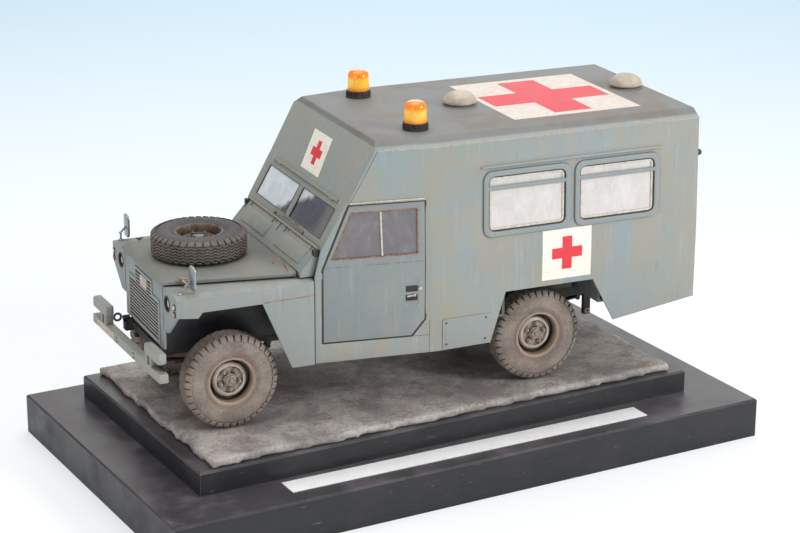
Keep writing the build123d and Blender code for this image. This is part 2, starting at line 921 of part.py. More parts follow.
def front_wing(side):
    edge = wing_top_z - wing_edge_z
    section = [
        (0, body_under_z),
        (wing_half, body_under_z),
        (wing_half, wing_edge_z),
        (wing_half - 2 * edge, wing_top_z),
        (0, wing_top_z),
    ]
    hollow = [
        (0, body_under_z),
        (wing_half - wing_wall, body_under_z),
        (wing_half - wing_wall, wing_edge_z - wing_wall / 2),
        (wing_half - 2 * edge - wing_wall / 2, wing_top_z - wing_wall),
        (0, wing_top_z - wing_wall),
    ]
    plan = [
        (wing_rear_x, wing_inner_rear_y),
        (wing_front_x, wing_inner_front_y),
        (wing_front_x, half_span),
        (wing_rear_x, half_span),
    ]
    shell = along(section, wing_rear_x, wing_front_x) - along(hollow, wing_rear_x, wing_front_x - wing_wall)
    top = shell & upward(plan, wing_top_z - 2 * edge - wing_wall, wing_top_z + overrun)
    panel = shell & across(wing_outline, wing_half - 2 * edge, half_span)
    nose = [
        (wing_half, wing_edge_z),
        (wing_half, wing_nose_z),
        (lamp_y, wing_cheek_z),
        (wing_inner_front_y, wing_cheek_z),
        (wing_inner_front_y, wing_top_z),
        (wing_half - 2 * edge, wing_top_z),
    ]
    face = along(nose, wing_front_x - wing_wall, wing_front_x)
    hole_start = (wing_front_x - overrun, lamp_y, lamp_z)
    face -= rod(hole_start, (wing_front_x + overrun, lamp_y, lamp_z), lamp_hole_radius, lamp_flats)
    return on_side(top + panel + face, side)


def headlamp(side):
    back_x = wing_front_x - wing_wall - lamp_depth
    bowl = rod((back_x, lamp_y, lamp_z), (wing_front_x - wing_wall, lamp_y, lamp_z), lamp_radius, lamp_flats)
    lamps = [on_side(bowl, side)]
    for z in marker_zs:
        marker = rod((wing_front_x, marker_y, z), (wing_front_x + marker_proud, marker_y, z), marker_radius)
        lamps.append(on_side(marker, side))
    return lamps


def inner_arch(side):
    # Black inner wing: a wall beside the engine and a closing wall before the cab
    y0 = inner_arch_y - inner_arch_wall
    upright = block(wing_rear_x, inner_arch_front_x, y0, inner_arch_y, inner_arch_low_z, wing_top_z - wing_wall)
    closing = block(
        wing_rear_x,
        wing_rear_x + inner_arch_wall,
        y0,
        wing_half - wing_wall,
        outrigger_high_z,
        wing_top_z - 2 * wing_wall,
    )
    return on_side(upright + closing, side)


# Bonnet
def bonnet_section(x, half, inset, drop):
    shoulder = half - bonnet_shoulder - inset / 2
    right = [
        (half - inset, bonnet_low_z - (overrun if inset else 0)),
        (half - inset, bonnet_edge_z - inset - drop),
        (shoulder, bonnet_shoulder_z - inset - drop),
        (half - bonnet_crown_inset, bonnet_crown_z - inset - drop),
    ]
    left = [(-y, z) for y, z in reversed(right)]
    return Plane.YZ.offset(x) * Polygon(*right, *left, align=None)


def bonnet():
    slope = (bonnet_rear_half - bonnet_front_half) / (bonnet_front_x - bonnet_rear_x)
    nose_x = bonnet_front_x - bonnet_nose_run
    nose_half = bonnet_front_half + slope * bonnet_nose_run
    # columns: x, half width, height lost at the nose
    rear = (bonnet_rear_x, bonnet_rear_half, 0)
    nose = (nose_x, nose_half, 0)
    front = (bonnet_front_x, bonnet_front_half, bonnet_nose_drop)
    shell = None
    for (x0, w0, d0), (x1, w1, d1) in ((rear, nose), (nose, front)):
        part = loft([bonnet_section(x0, w0, 0, d0), bonnet_section(x1, w1, 0, d1)], ruled=True)
        shell = part if shell is None else shell + part
    inner_front = bonnet_front_x - bonnet_wall
    inner_nose = nose_x - bonnet_wall
    inner_drop = bonnet_nose_drop
    w_nose = nose_half + slope * bonnet_wall
    w_front = bonnet_front_half + slope * bonnet_wall
    cavity = loft(
        [
            bonnet_section(bonnet_rear_x - overrun, bonnet_rear_half + slope * overrun, bonnet_wall, 0),
            bonnet_section(inner_nose, w_nose, bonnet_wall, 0),
        ],
        ruled=True,
    )
    cavity += loft(
        [
            bonnet_section(inner_nose, w_nose, bonnet_wall, 0),
            bonnet_section(inner_front, w_front, bonnet_wall, inner_drop),
        ],
        ruled=True,
    )
    boss_low = bonnet_crown_z - bonnet_wall / 2
    boss_high = bonnet_crown_z + spare_gap + tyre_width - disc_depth + spare_boss_proud
    boss = rod((wheelbase, 0, boss_low), (wheelbase, 0, boss_high), hub_radius - running_gap, rim_flats)
    return shell - cavity + boss


spare_place = Pos(wheelbase, 0, bonnet_crown_z + spare_gap + tyre_width / 2) * Rot(90, 0, 0)


# Windscreen frame with scuttle, one welded piece
def screen_points(share_low, share_top, depth):
    # Points of a strip along the screen's slope, from one share of its height to another
    def at(share):
        x = screen_low_x + (screen_top_x - screen_low_x) * share
        z = screen_low_z + (screen_top_z - screen_low_z) * share
        return x, z

    (x0, z0), (x1, z1) = at(share_low), at(share_top)
    return [(x0 + overrun, z0), (x1 + overrun, z1), (x1 - depth, z1), (x0 - depth, z0)]


def windscreen_frame():
    strip = [
        (screen_low_x, screen_low_z),
        (screen_top_x, screen_top_z),
        (screen_top_x - screen_run, screen_top_z),
        (screen_low_x - screen_run, screen_low_z),
    ]
    frame = inner_body & across(strip, -half_span, half_span)
    height = screen_top_z - screen_low_z
    low_share = screen_margin_low / height
    top_share = 1 - screen_margin_top / height
    hole = screen_points(low_share, top_share, overrun)
    for side in (1, -1):
        outer_y = scuttle_half - screen_side
        frame -= on_side(across(hole, pane_half_gap, outer_y), side)
    scuttle = [
        (screen_low_x, screen_low_z),
        (scuttle_foot_x, scuttle_foot_z),
        (scuttle_foot_x, scuttle_low_z),
        (scuttle_foot_x - wall, scuttle_low_z),
        (scuttle_foot_x - wall, scuttle_foot_z - wall / 2),
        (screen_low_x - screen_run, screen_low_z - wall / 2),
        (screen_low_x - screen_run, screen_low_z),
    ]
    frame += across(scuttle, -scuttle_half, scuttle_half)
    cheek = [
        (screen_low_x - screen_run, screen_low_z),
        (screen_low_x, screen_low_z),
        (scuttle_foot_x, scuttle_foot_z),
        (scuttle_foot_x, scuttle_low_z),
        (sill_front_x, scuttle_low_z),
    ]
    for side in (1, -1):
        frame += on_side(across(cheek, scuttle_half - wall, scuttle_half), side)
    run_x = scuttle_foot_x - screen_low_x
    run_z = screen_low_z - scuttle_foot_z
    length = math.hypot(run_x, run_z)
    lift_x = flap_proud * run_z / length
    lift_z = flap_proud * run_x / length
    top_x = scuttle_foot_x - run_x * flap_share_top
    top_z = scuttle_foot_z + run_z * flap_share_top
    low_x = scuttle_foot_x - run_x * flap_share_low
    low_z = scuttle_foot_z + run_z * flap_share_low
    flap = [(top_x, top_z), (top_x + lift_x, top_z + lift_z), (low_x + lift_x, low_z + lift_z), (low_x, low_z)]
    for side in (1, -1):
        y = side * flap_y
        frame += across(flap, y - flap_length, y + flap_length)
    return frame


def windscreen_glass():
    height = screen_top_z - screen_low_z
    low_share = screen_margin_low / height
    top_share = 1 - screen_margin_top / height
    run = screen_top_x - screen_low_x
    x0 = screen_low_x + run * low_share
    z0 = screen_low_z + height * low_share
    x1 = screen_low_x + run * top_share
    z1 = screen_low_z + height * top_share
    pane = [
        (x0 - glass_inset, z0),
        (x1 - glass_inset, z1),
        (x1 - glass_inset - glass_thick, z1),
        (x0 - glass_inset - glass_thick, z0),
    ]
    left = across(pane, pane_half_gap, scuttle_half - screen_side)
    return Compound([left, on_side(left, -1)])


# Body sides
front_door_opening = [
    (door_front_x, door_low_z),
    (door_front_x, door_kink_z),
    (door_top_front_x, door_top_z),
    (door_rear_x, door_top_z),
    (door_rear_x, door_chamfer_z),
    (door_chamfer_x, door_low_z),
]
front_door_outline = [
    (door_front_x - door_gap, door_low_z + door_gap),
    (door_front_x - door_gap, door_kink_z - door_gap / 2),
    (door_top_front_x - door_gap, door_top_z - door_gap),
    (door_rear_x + door_gap, door_top_z - door_gap),
    (door_rear_x + door_gap, door_chamfer_z + door_gap / 2),
    (door_chamfer_x + door_gap / 2, door_low_z + door_gap),
]
door_window = [
    (door_window_low_front_x, door_window_low_z),
    (door_window_top_front_x, door_window_top_z),
    (door_window_rear_x, door_window_top_z),
    (door_window_rear_x, door_window_low_z),
]
slope_share = (roof_z - side_top_z) / (roof_z - screen_top_z)
slope_side_x = slope_top_x + (screen_top_x - slope_top_x) * slope_share
side_outline = [
    (rear_x + wall, rear_low_z),
    (arch_tail_x, arch_tail_z),
    (arch_rear_x, arch_top_z),
    (arch_front_x, arch_top_z),
    (arch_foot_x, sill_rear_z),
    (sill_front_x, sill_front_z),
    (sill_front_x, scuttle_low_z),
    (screen_low_x, screen_low_z),
    (screen_top_x, screen_top_z),
    (screen_top_x - slope_run, screen_top_z),
    (slope_side_x - slope_run, side_top_z),
    (rear_x + wall, side_top_z),
]


def pane_shape(front_x, inset):
    # A rounded window outline, standing across the body
    length = pane_frame_length - 2 * inset
    height = pane_frame_height - 2 * inset
    middle_x = front_x - pane_frame_length / 2
    middle_z = pane_frame_low_z + pane_frame_height / 2
    outline = soft_rectangle(length, height, pane_corner - inset / 2)
    return extrude(Plane.XZ * (Pos(middle_x, middle_z) * outline), half_span, dir=(0, 1, 0))


def body_side(side):
    panel = left_of(body_skin, side_outline)
    panel -= across(front_door_opening, 0, half_span)
    for front_x in pane_frame_front_xs:
        panel -= pane_shape(front_x, pane_frame_width)
    gutter_top_z = gutter_z + gutter_height
    panel += gutter_skin & block(gutter_rear_x, gutter_front_x, 0, half_span, gutter_z, gutter_top_z)
    drip_low_z = door_top_z + door_gap
    drip_front_x = door_top_front_x - wall
    drip = block(door_rear_x - door_gap, drip_front_x, 0, half_span, drip_low_z, door_top_z + drip_height)
    panel += gutter_skin & drip
    return on_side(panel, side)


def side_window_frame(side):
    rings = []
    for front_x in pane_frame_front_xs:
        ring = frame_skin & (pane_shape(front_x, 0) - pane_shape(front_x, pane_frame_width))
        bar_z = pane_frame_low_z + pane_frame_height * pane_bar_share
        inner = pane_shape(front_x, pane_frame_width)
        bar_low_z = bar_z - pane_bar_height / 2
        bar_block = block(
            front_x - pane_frame_length, front_x, 0, half_span, bar_low_z, bar_low_z + pane_bar_height
        )
        ring += (frame_skin & bar_block) & inner
        rings.append(on_side(ring, side))
    return rings


def side_window_glass(side):
    panes = [glass_skin & pane_shape(front_x, pane_frame_width) for front_x in pane_frame_front_xs]
    return [on_side(pane, side) for pane in panes]


def front_door(side):
    panel = left_of(body_skin, front_door_outline) - across(door_window, 0, half_span)
    recess = body_skin & block(
        handle_x - handle_length / 2,
        handle_x + handle_length / 2,
        0,
        half_span,
        handle_z - handle_height / 2,
        handle_z + handle_height / 2,
    )
    floor_skin = body_volume(handle_depth) - inner_body
    panel = panel - recess + (floor_skin & recess)
    lever = body_volume(0) - body_volume(handle_depth)
    panel += lever & block(
        handle_x - handle_length / 2,
        handle_x + handle_length / 2,
        0,
        half_span,
        handle_z - lever_thick,
        handle_z + lever_thick,
    )
    return on_side(panel, side)


def front_door_glass(side):
    return on_side(left_of(glass_skin, door_window), side)


# Roof with the sloping front panel
def roof_shell():
    upper = [
        (rear_x, side_top_z),
        (slope_side_x, side_top_z),
        (slope_top_x, roof_z),
        (rear_x, roof_z),
    ]
    strip = [
        (slope_top_x, roof_z),
        (screen_top_x, screen_top_z),
        (screen_top_x - slope_run, screen_top_z),
        (slope_top_x - slope_run, roof_z),
    ]
    top = body_skin & across(upper, -half_span, half_span)
    return top + (outer_body & across(strip, -half_span, half_span))


def rear_frame():
    end_wall = outer_body & block(rear_x, rear_x + wall, -half_span, half_span, rear_low_z, side_top_z)
    end_wall += inner_body & block(rear_x, rear_x + wall, -half_span, half_span, side_top_z - wall, roof_z)
    opening = block(
        rear_x - overrun, rear_x + overrun, -rear_door_half, rear_door_half, rear_door_low_z, rear_door_top_z
    )
    return end_wall - opening


def tail_lamp(side):
    # Two round lamps one above the other on the end wall
    y = box_half_width - tail_lamp_inset
    return [
        on_side(rod((rear_x - tail_lamp_proud, y, z), (rear_x, y, z), tail_lamp_radius, lamp_flats), side)
        for z in tail_lamp_zs
    ]


def rear_window_shape(inset):
    length = 2 * (rear_window_half - inset)
    height = rear_window_top_z - rear_window_low_z - 2 * inset
    middle_y = rear_door_half / 2
    middle_z = (rear_window_low_z + rear_window_top_z) / 2
    sketch = Pos(middle_y, middle_z) * soft_rectangle(length, height, rear_window_corner)
    return Plane.YZ.offset(rear_x) * sketch


def rear_door(side):
    leaf_panel = block(
        rear_x,
        rear_x + wall,
        door_gap / 2,
        rear_door_half - door_gap,
        rear_door_low_z + door_gap,
        rear_door_top_z - door_gap,
    )
    leaf_panel -= extrude(rear_window_shape(0), wall)
    for z in rear_hinge_zs:
        knuckle_x = rear_x - hinge_radius - hinge_gap
        low = (knuckle_x, rear_door_half, z - hinge_height / 2)
        high = (knuckle_x, rear_door_half, z + hinge_height / 2)
        barrel = rod(low, high, hinge_radius)
        strap = block(
            knuckle_x,
            rear_x,
            rear_door_half - 2 * hinge_height,
            rear_door_half - door_gap,
            z - hinge_height / 3,
            z + hinge_height / 3,
        )
        leaf_panel += barrel + strap
    return on_side(leaf_panel, side)


def rear_door_glass(side):
    pane = extrude(rear_window_shape(0), glass_thick)
    return on_side(Pos(glass_inset, 0, 0) * pane, side)


# Floor, wheel boxes, seat box and partition
def body_floor():
    margin = floor_margin
    cab_plan = [
        (partition_x + wall, cab_half(partition_x + wall)),
        (wing_rear_x - margin, cab_half(wing_rear_x - margin)),
        (wing_rear_x - margin, -cab_half(wing_rear_x - margin)),
        (partition_x + wall, -cab_half(partition_x + wall)),
    ]
    floor = upward(cab_plan, cab_floor_z - floor_thick, cab_floor_z)
    box_half = cab_half(bend_x)
    step_half = cab_half(partition_x + wall)
    box_plan = [(rear_x + wall + margin, box_half), (bend_x, box_half), (partition_x + wall, step_half)]
    box_plan += [(x, -y) for x, y in reversed(box_plan)]
    floor += upward(box_plan, box_floor_z - floor_thick, box_floor_z)
    riser_low_z = cab_floor_z - floor_thick
    floor += block(partition_x, partition_x + wall, -step_half, step_half, riser_low_z, box_floor_z)
    for side in (1, -1):
        tunnel = block(
            wheel_box_rear_x,
            wheel_box_front_x,
            wheel_box_inner_y,
            box_half,
            box_floor_z - wall,
            wheel_box_top_z,
        )
        hollow = block(
            wheel_box_rear_x + wall,
            wheel_box_front_x - wall,
            wheel_box_inner_y + wall,
            half_span,
            box_floor_z - overrun,
            wheel_box_top_z - wall,
        )
        floor = floor + on_side(tunnel, side) - on_side(hollow, side)
    wall_section = inner_body & block(
        partition_x, partition_x + wall, -half_span, half_span, box_floor_z - wall / 2, roof_z
    )
    doorway = block(
        partition_x - overrun,
        partition_x + overrun,
        -partition_door_half,
        partition_door_half,
        partition_door_low_z,
        partition_door_top_z,
    )
    floor += wall_section - doorway
    floor += block(
        seat_box_rear_x,
        seat_box_front_x,
        -cab_half(seat_box_front_x),
        cab_half(seat_box_front_x),
        cab_floor_z - floor_thick / 2,
        seat_box_top_z,
    )
    dash_half = scuttle_half - wall - margin
    floor += block(
        wing_rear_x - wall - margin,
        wing_rear_x - margin,
        -dash_half,
        dash_half,
        cab_floor_z - floor_thick,
        scuttle_low_z - margin,
    )
    return floor


def cab_half(x):
    # Half the room inside the cab walls at a given place
    return box_half_width - wall - floor_margin - flare * (x - bend_x)


def cab_seats():
    seats = []
    for side in (1, -1):
        base_z = seat_box_top_z + floor_margin
        front_x = seat_box_front_x - floor_margin
        cushion = block(
            front_x - seat_depth,
            front_x,
            seat_y - seat_width / 2,
            seat_y + seat_width / 2,
            base_z,
            base_z + seat_thick,
        )
        cushion = chamfer(cushion.edges().filter_by(Axis.Y).group_by(Axis.Z)[-1], seat_round)
        back = Box(seat_back_thick, seat_width, seat_back_height, align=(Align.MAX, Align.CENTER, Align.MIN))
        back = chamfer(back.edges().filter_by(Axis.Y).group_by(Axis.Z)[-1], seat_round)
        back_x = front_x - seat_depth + seat_back_thick
        back = Pos(back_x, seat_y, base_z + seat_thick - seat_round) * (Rot(0, -seat_back_rake, 0) * back)
        seats.append(on_side(cushion + back, side))
    return Compound(seats)


def dashboard():
    back_x = wing_rear_x - wall - 2 * floor_margin
    half = scuttle_half - 2 * wall
    shelf = block(back_x - dash_depth, back_x, -half, half, dash_low_z, dash_high_z)
    shelf = chamfer(shelf.edges().filter_by(Axis.Y).group_by(Axis.X)[0], seat_round)
    axis = Plane(
        origin=(steer_wheel_x, steer_wheel_y, steer_wheel_z),
        z_dir=(math.cos(math.radians(steer_column_rake)), 0, -math.sin(math.radians(steer_column_rake))),
    )
    column_end = RegularPolygon(steer_column_radius, small_flats)
    column = extrude(axis * column_end, steer_column_length, dir=axis.z_dir)
    ring_half = steer_wheel_rim / 2
    ring_outline = [
        (steer_wheel_radius - ring_half, -ring_half),
        (steer_wheel_radius + ring_half, -ring_half),
        (steer_wheel_radius + ring_half, ring_half),
        (steer_wheel_radius - ring_half, ring_half),
    ]
    ring = axis * (Rot(90, 0, 0) * turned(ring_outline, steer_wheel_flats))
    spoke = axis * Box(2 * steer_wheel_radius, steer_wheel_rim, steer_wheel_rim)
    spokes = spoke + axis * Box(steer_wheel_rim, 2 * steer_wheel_radius, steer_wheel_rim)
    link_x = steer_wheel_x + steer_column_length * math.cos(math.radians(steer_column_rake)) / 2
    stay = block(
        link_x,
        back_x - dash_depth / 2,
        steer_wheel_y - steer_column_radius,
        steer_wheel_y + steer_column_radius,
        dash_low_z + steer_column_radius,
        dash_low_z + 2 * steer_column_radius,
    )
    return shelf + column + ring + spokes + stay


# Under the bonnet and floor
def engine_block():
    return block(engine_rear_x, engine_front_x, -engine_half, engine_half, engine_low_z, engine_high_z)


def driveline():
    gearbox = block(
        gearbox_rear_x, engine_rear_x, -gearbox_half, gearbox_half, gearbox_low_z, gearbox_high_z
    )
    transfer = block(
        gearbox_rear_x,
        gearbox_rear_x + 2 * gearbox_half,
        diff_y - gearbox_half / 2,
        0,
        gearbox_low_z,
        gearbox_high_z,
    )
    gear = gearbox + transfer
    shaft_z = gearbox_low_z + prop_radius
    front_nose = wheelbase - diff_radius - diff_nose - floor_margin
    rear_nose = diff_radius + diff_nose + floor_margin
    output = (gearbox_rear_x + gearbox_half, diff_y, shaft_z)
    gear += rod(output, (front_nose, diff_y, tyre_radius), prop_radius)
    gear += rod(output, (rear_nose, diff_y, tyre_radius), prop_radius)
    return gear


def fuel_tank():
    tank = block(tank_rear_x, tank_front_x, -tank_outer_y, -tank_inner_y, tank_low_z, tank_high_z)
    return chamfer(tank.edges().filter_by(Axis.Y), tank_round)


def exhaust():
    front = (engine_rear_x + silencer_radius, pipe_y, engine_low_z + pipe_radius)
    elbow = (engine_rear_x - 2 * silencer_radius, pipe_y, pipe_z)
    pipe = rod(front, elbow, pipe_radius)
    pipe += Pos(*elbow) * ball(pipe_radius)
    pipe += rod(elbow, (pipe_end_x, pipe_y, pipe_z), pipe_radius)
    silencer_end = (silencer_front_x, pipe_y, pipe_z)
    pipe += rod((silencer_rear_x, pipe_y, pipe_z), silencer_end, silencer_radius, silencer_flats)
    return pipe


# Roof fittings and mirrors
def beacon_base(side):
    foot = (beacon_x, beacon_y, roof_z)
    head = (beacon_x, beacon_y, roof_z + beacon_base_height)
    return on_side(rod(foot, head, beacon_base_radius, beacon_flats), side)


def beacon_lens(side):
    height = beacon_height - beacon_base_height
    inner_top = beacon_top_radius - beacon_wall
    outline = [
        (beacon_lens_radius - beacon_wall, 0),
        (beacon_lens_radius, 0),
        (beacon_top_radius, height - beacon_shoulder),
        (beacon_top_radius - beacon_shoulder / 2, height - beacon_shoulder / 4),
        (beacon_top_radius - beacon_shoulder, height),
        (0, height),
        (0, height - beacon_wall),
        (beacon_top_radius - beacon_shoulder, height - beacon_wall),
        (inner_top, height - beacon_shoulder),
    ]
    lens = Rot(90, 0, 0) * turned(outline, beacon_flats)
    return Pos(beacon_x, side * beacon_y, roof_z + beacon_base_height) * lens


def roof_vent(x):
    # A mushroom cap: a low rim and a dome
    outline = [(0, 0), (vent_radius, 0), (vent_radius, vent_lip)]
    for i in range(1, vent_bands):
        turn = math.pi / 2 * i / vent_bands
        outline.append((vent_radius * math.cos(turn), vent_lip + (vent_height - vent_lip) * math.sin(turn)))
    outline.append((0, vent_height))
    return Pos(x, 0, roof_z) * (Rot(90, 0, 0) * turned(outline, vent_flats))


def wing_mirror(side):
    foot = (mirror_x, mirror_y, wing_top_z + mirror_stalk_radius)
    neck_z = wing_top_z + mirror_low + mirror_height / 3
    neck = (mirror_x - mirror_back, mirror_y, neck_z)
    arm = rod(foot, neck, mirror_stalk_radius)
    outline = Plane.YZ * soft_rectangle(mirror_width, mirror_height, mirror_width / 3)
    plate = extrude(outline, mirror_thick / 2, both=True)
    plate = Pos(mirror_x - mirror_back, mirror_y, wing_top_z + mirror_low + mirror_height / 2) * plate
    return on_side(arm + plate, side)


sides = ((1, "left"), (-1, "right"))
save("plinth_base", plinth_base(), False)
save("plinth_step", plinth_step(), False)
save("groundwork", groundwork(), False)
save("chassis_frame", chassis_frame())
save("front_bumper", front_bumper())
save("front_axle", front_axle())
save("rear_axle", rear_axle())
save("engine_block", engine_block())
save("driveline", driveline())
save("exhaust", exhaust())
save("fuel_tank", fuel_tank())
save("body_floor", body_floor())
save("windscreen_frame", windscreen_frame())
save("windscreen_glass", windscreen_glass())
save("radiator_panel", radiator_panel())
save("front_wings", Compound([front_wing(s) for s, _ in sides]))
save("inner_arches", Compound([inner_arch(s) for s, _ in sides]))
save("headlamps", Compound([lamp for s, _ in sides for lamp in headlamp(s)]))
save("roof_shell", roof_shell())
save("rear_frame", rear_frame())
save("tail_lamps", Compound([lamp for s, _ in sides for lamp in tail_lamp(s)]))
save("side_window_frames", Compound([ring for s, _ in sides for ring in side_window_frame(s)]))
save("side_window_glass", Compound([pane for s, _ in sides for pane in side_window_glass(s)]))
save("cab_seats", cab_seats())
save("dashboard", dashboard())
save("wing_mirrors", Compound([wing_mirror(s) for s, _ in sides]))
save("beacon_bases", Compound([beacon_base(s) for s, _ in sides]))
save("beacon_lenses", Compound([beacon_lens(s) for s, _ in sides]))
save("roof_vents", Compound([roof_vent(x) for x in vent_xs]))
save("bonnet", bonnet())
tyre = make_tyre()
rim = make_rim(True)
save("spare_tyre", spare_place * tyre)
save("spare_rim", spare_place * make_rim(False))
save("track_rod", track_rod())
for side, name in sides:
    save("body_side_" + name, body_side(side))
    save("front_door_" + name, front_door(side))
    save("front_door_glass_" + name, front_door_glass(side))
    save("rear_door_" + name, rear_door(side))
    save("rear_door_glass_" + name, rear_door_glass(side))
    save("knuckle_" + name, knuckle(side))
    for axle_name, axle_x in (("front", wheelbase), ("rear", 0)):
        place = Pos(axle_x, side * wheel_y, tyre_radius)
        save("tyre_" + axle_name + "_" + name, place * tyre)
        save("rim_" + axle_name + "_" + name, place * on_side(rim, side))
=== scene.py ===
import json
import math
import bmesh
import bpy
from mathutils import Matrix, Vector


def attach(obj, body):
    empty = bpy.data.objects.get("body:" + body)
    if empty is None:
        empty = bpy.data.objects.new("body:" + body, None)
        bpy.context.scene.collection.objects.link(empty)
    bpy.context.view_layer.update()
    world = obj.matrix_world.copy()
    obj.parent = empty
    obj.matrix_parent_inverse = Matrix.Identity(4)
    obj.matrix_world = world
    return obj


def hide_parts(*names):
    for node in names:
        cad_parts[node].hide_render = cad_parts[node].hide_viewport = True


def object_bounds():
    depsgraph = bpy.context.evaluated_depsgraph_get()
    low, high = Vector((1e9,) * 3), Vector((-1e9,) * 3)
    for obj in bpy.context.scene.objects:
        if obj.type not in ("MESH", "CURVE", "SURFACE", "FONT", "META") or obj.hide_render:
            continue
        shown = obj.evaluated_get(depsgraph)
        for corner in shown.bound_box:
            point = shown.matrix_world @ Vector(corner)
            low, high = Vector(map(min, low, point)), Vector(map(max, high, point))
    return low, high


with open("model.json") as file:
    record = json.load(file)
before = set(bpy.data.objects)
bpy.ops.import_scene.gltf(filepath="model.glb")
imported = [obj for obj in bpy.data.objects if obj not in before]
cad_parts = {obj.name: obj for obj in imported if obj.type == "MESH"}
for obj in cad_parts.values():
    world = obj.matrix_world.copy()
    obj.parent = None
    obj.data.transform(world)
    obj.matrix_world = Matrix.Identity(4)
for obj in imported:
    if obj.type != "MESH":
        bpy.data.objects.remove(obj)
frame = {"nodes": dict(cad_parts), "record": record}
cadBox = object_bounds()
nodes = frame["nodes"]
mm = 0.001

# the truck's own frame: x forward from the rear axle, y left, z up from the tyres' foot, in mm
truck = {"rearAxleBack": 43.2, "stand": 25.9, "wheelbase": 115.4, "tyreRadius": 16.6, "wheelMid": 27.2,
         "boxHalf": 41.65, "bend": 44.6, "flare": 0.159, "tumble": 0.035, "waist": 52.1, "rear": -57.0}


def at(x, y, z):
    return Vector(((x - truck["rearAxleBack"]) * mm, y * mm, (z + truck["stand"]) * mm))


def sideY(x, z):
    # how far out the body's side stands at a place
    narrow = max(x - truck["bend"], 0) * truck["flare"]
    return truck["boxHalf"] - narrow - truck["tumble"] * max(z - truck["waist"], 0)


def onSide(x, z, lift=0.0):
    return at(x, sideY(x, z) + lift, z)


# Modelling helpers
def calm():
    # out of edit mode, nothing selected
    if bpy.context.object and bpy.context.object.mode != "OBJECT":
        bpy.ops.object.mode_set(mode="OBJECT")
    bpy.ops.object.select_all(action="DESELECT")


def only(item):
    calm()
    item.select_set(True)
    bpy.context.view_layer.objects.active = item


def settle(item):
    only(item)
    bpy.ops.object.transform_apply(location=True, rotation=True, scale=True)


def editing(item):
    only(item)
    bpy.ops.object.mode_set(mode="EDIT")
    bpy.ops.mesh.select_all(action="SELECT")


def closeUp():
    # merged doubles, faces turned outward, back in object mode
    bpy.ops.mesh.select_all(action="SELECT")
    bpy.ops.mesh.remove_doubles(threshold=0.001 * mm)
    bpy.ops.mesh.normals_make_consistent(inside=False)
    bpy.ops.object.mode_set(mode="OBJECT")


def pick(item, test, kind="FACE"):
    # selects the faces or edges whose middle passes the test, in edit mode
    bpy.ops.mesh.select_mode(type=kind)
    bpy.ops.mesh.select_all(action="DESELECT")
    shape = bmesh.from_edit_mesh(item.data)
    for part in shape.faces if kind == "FACE" else shape.edges:
        middle = sum((corner.co for corner in part.verts), Vector()) / len(part.verts)
        part.select_set(bool(test(part, middle)))
    shape.select_flush_mode()
    bmesh.update_edit_mesh(item.data)


def roundEdges(item, width, segments=2, angle=30, skip=None):
    # rounds the sharp edges, apart from those whose middle the skip test names
    editing(item)
    limit = math.radians(angle)

    def sharp(edge, middle):
        if len(edge.link_faces) != 2 or edge.calc_face_angle(0) < limit:
            return False
        return not (skip and skip(middle / mm + Vector((truck["rearAxleBack"], 0, -truck["stand"]))))

    pick(item, sharp, "EDGE")
    bpy.ops.mesh.bevel(offset=width * mm, segments=segments, profile=0.6, clamp_overlap=True)
    bpy.ops.object.mode_set(mode="OBJECT")
    bpy.ops.object.shade_smooth_by_angle(angle=math.radians(38))


def addBlock(name, low, high, rounding=0.15):
    # a box between two corners in the truck's mm, with rounded edges
    calm()
    a, b = at(*low), at(*high)
    bpy.ops.mesh.primitive_cube_add(size=1, location=(a + b) / 2)
    item = bpy.context.object
    item.name = name
    item.scale = b - a
    settle(item)
    if rounding:
        roundEdges(item, rounding)
    return item


def addBar(name, start, end, width, depth, out=(0, 1, 0), rounding=0.08):
    # a straight flat bar between two points: width lies across, depth along out
    calm()
    run = end - start
    along = run.normalized()
    outward = Vector(out)
    outward = (outward - along * outward.dot(along)).normalized()
    across = along.cross(outward)
    bpy.ops.mesh.primitive_cube_add(size=1)
    item = bpy.context.object
    item.name = name
    turn = Matrix((along, outward, across)).transposed().to_4x4()
    size = Matrix.Diagonal((run.length, depth * mm, width * mm, 1))
    item.matrix_world = Matrix.Translation((start + end) / 2) @ turn @ size
    settle(item)
    if rounding:
        roundEdges(item, rounding)
    return item


def addRod(name, start, end, radius, sides=20, rounding=0.06):
    # a round bar with softened ends
    calm()
    run = end - start
    bpy.ops.mesh.primitive_cylinder_add(
        vertices=sides, radius=radius * mm, depth=run.length, location=(start + end) / 2,
        rotation=run.to_track_quat("Z", "Y").to_euler(),
    )
    item = bpy.context.object
    item.name = name
    settle(item)
    if rounding:
        roundEdges(item, rounding, 2, 50)
    return item


def drawn(name, points, closed=False):
    # a line of edges through the points, drawn from one point; left in edit mode
    calm()
    bpy.ops.mesh.primitive_plane_add(size=mm, location=points[0])
    item = bpy.context.object
    item.name = name
    settle(item)
    editing(item)
    bpy.ops.mesh.select_mode(type="VERT")
    bpy.ops.mesh.merge(type="CENTER")
    for before, after in zip(points, points[1:]):
        bpy.ops.mesh.extrude_region_move(TRANSFORM_OT_translate={"value": after - before})
    bpy.ops.mesh.select_all(action="SELECT")
    if closed:
        bpy.ops.mesh.edge_face_add()
    return item


def addPlate(name, points, thickness, rounding=0.1):
    # a flat plate: the outline's points and the vector of its thickness
    item = drawn(name, points, True)
    bpy.ops.mesh.extrude_region_move(TRANSFORM_OT_translate={"value": thickness})
    closeUp()
    if rounding:
        roundEdges(item, rounding)
    return item


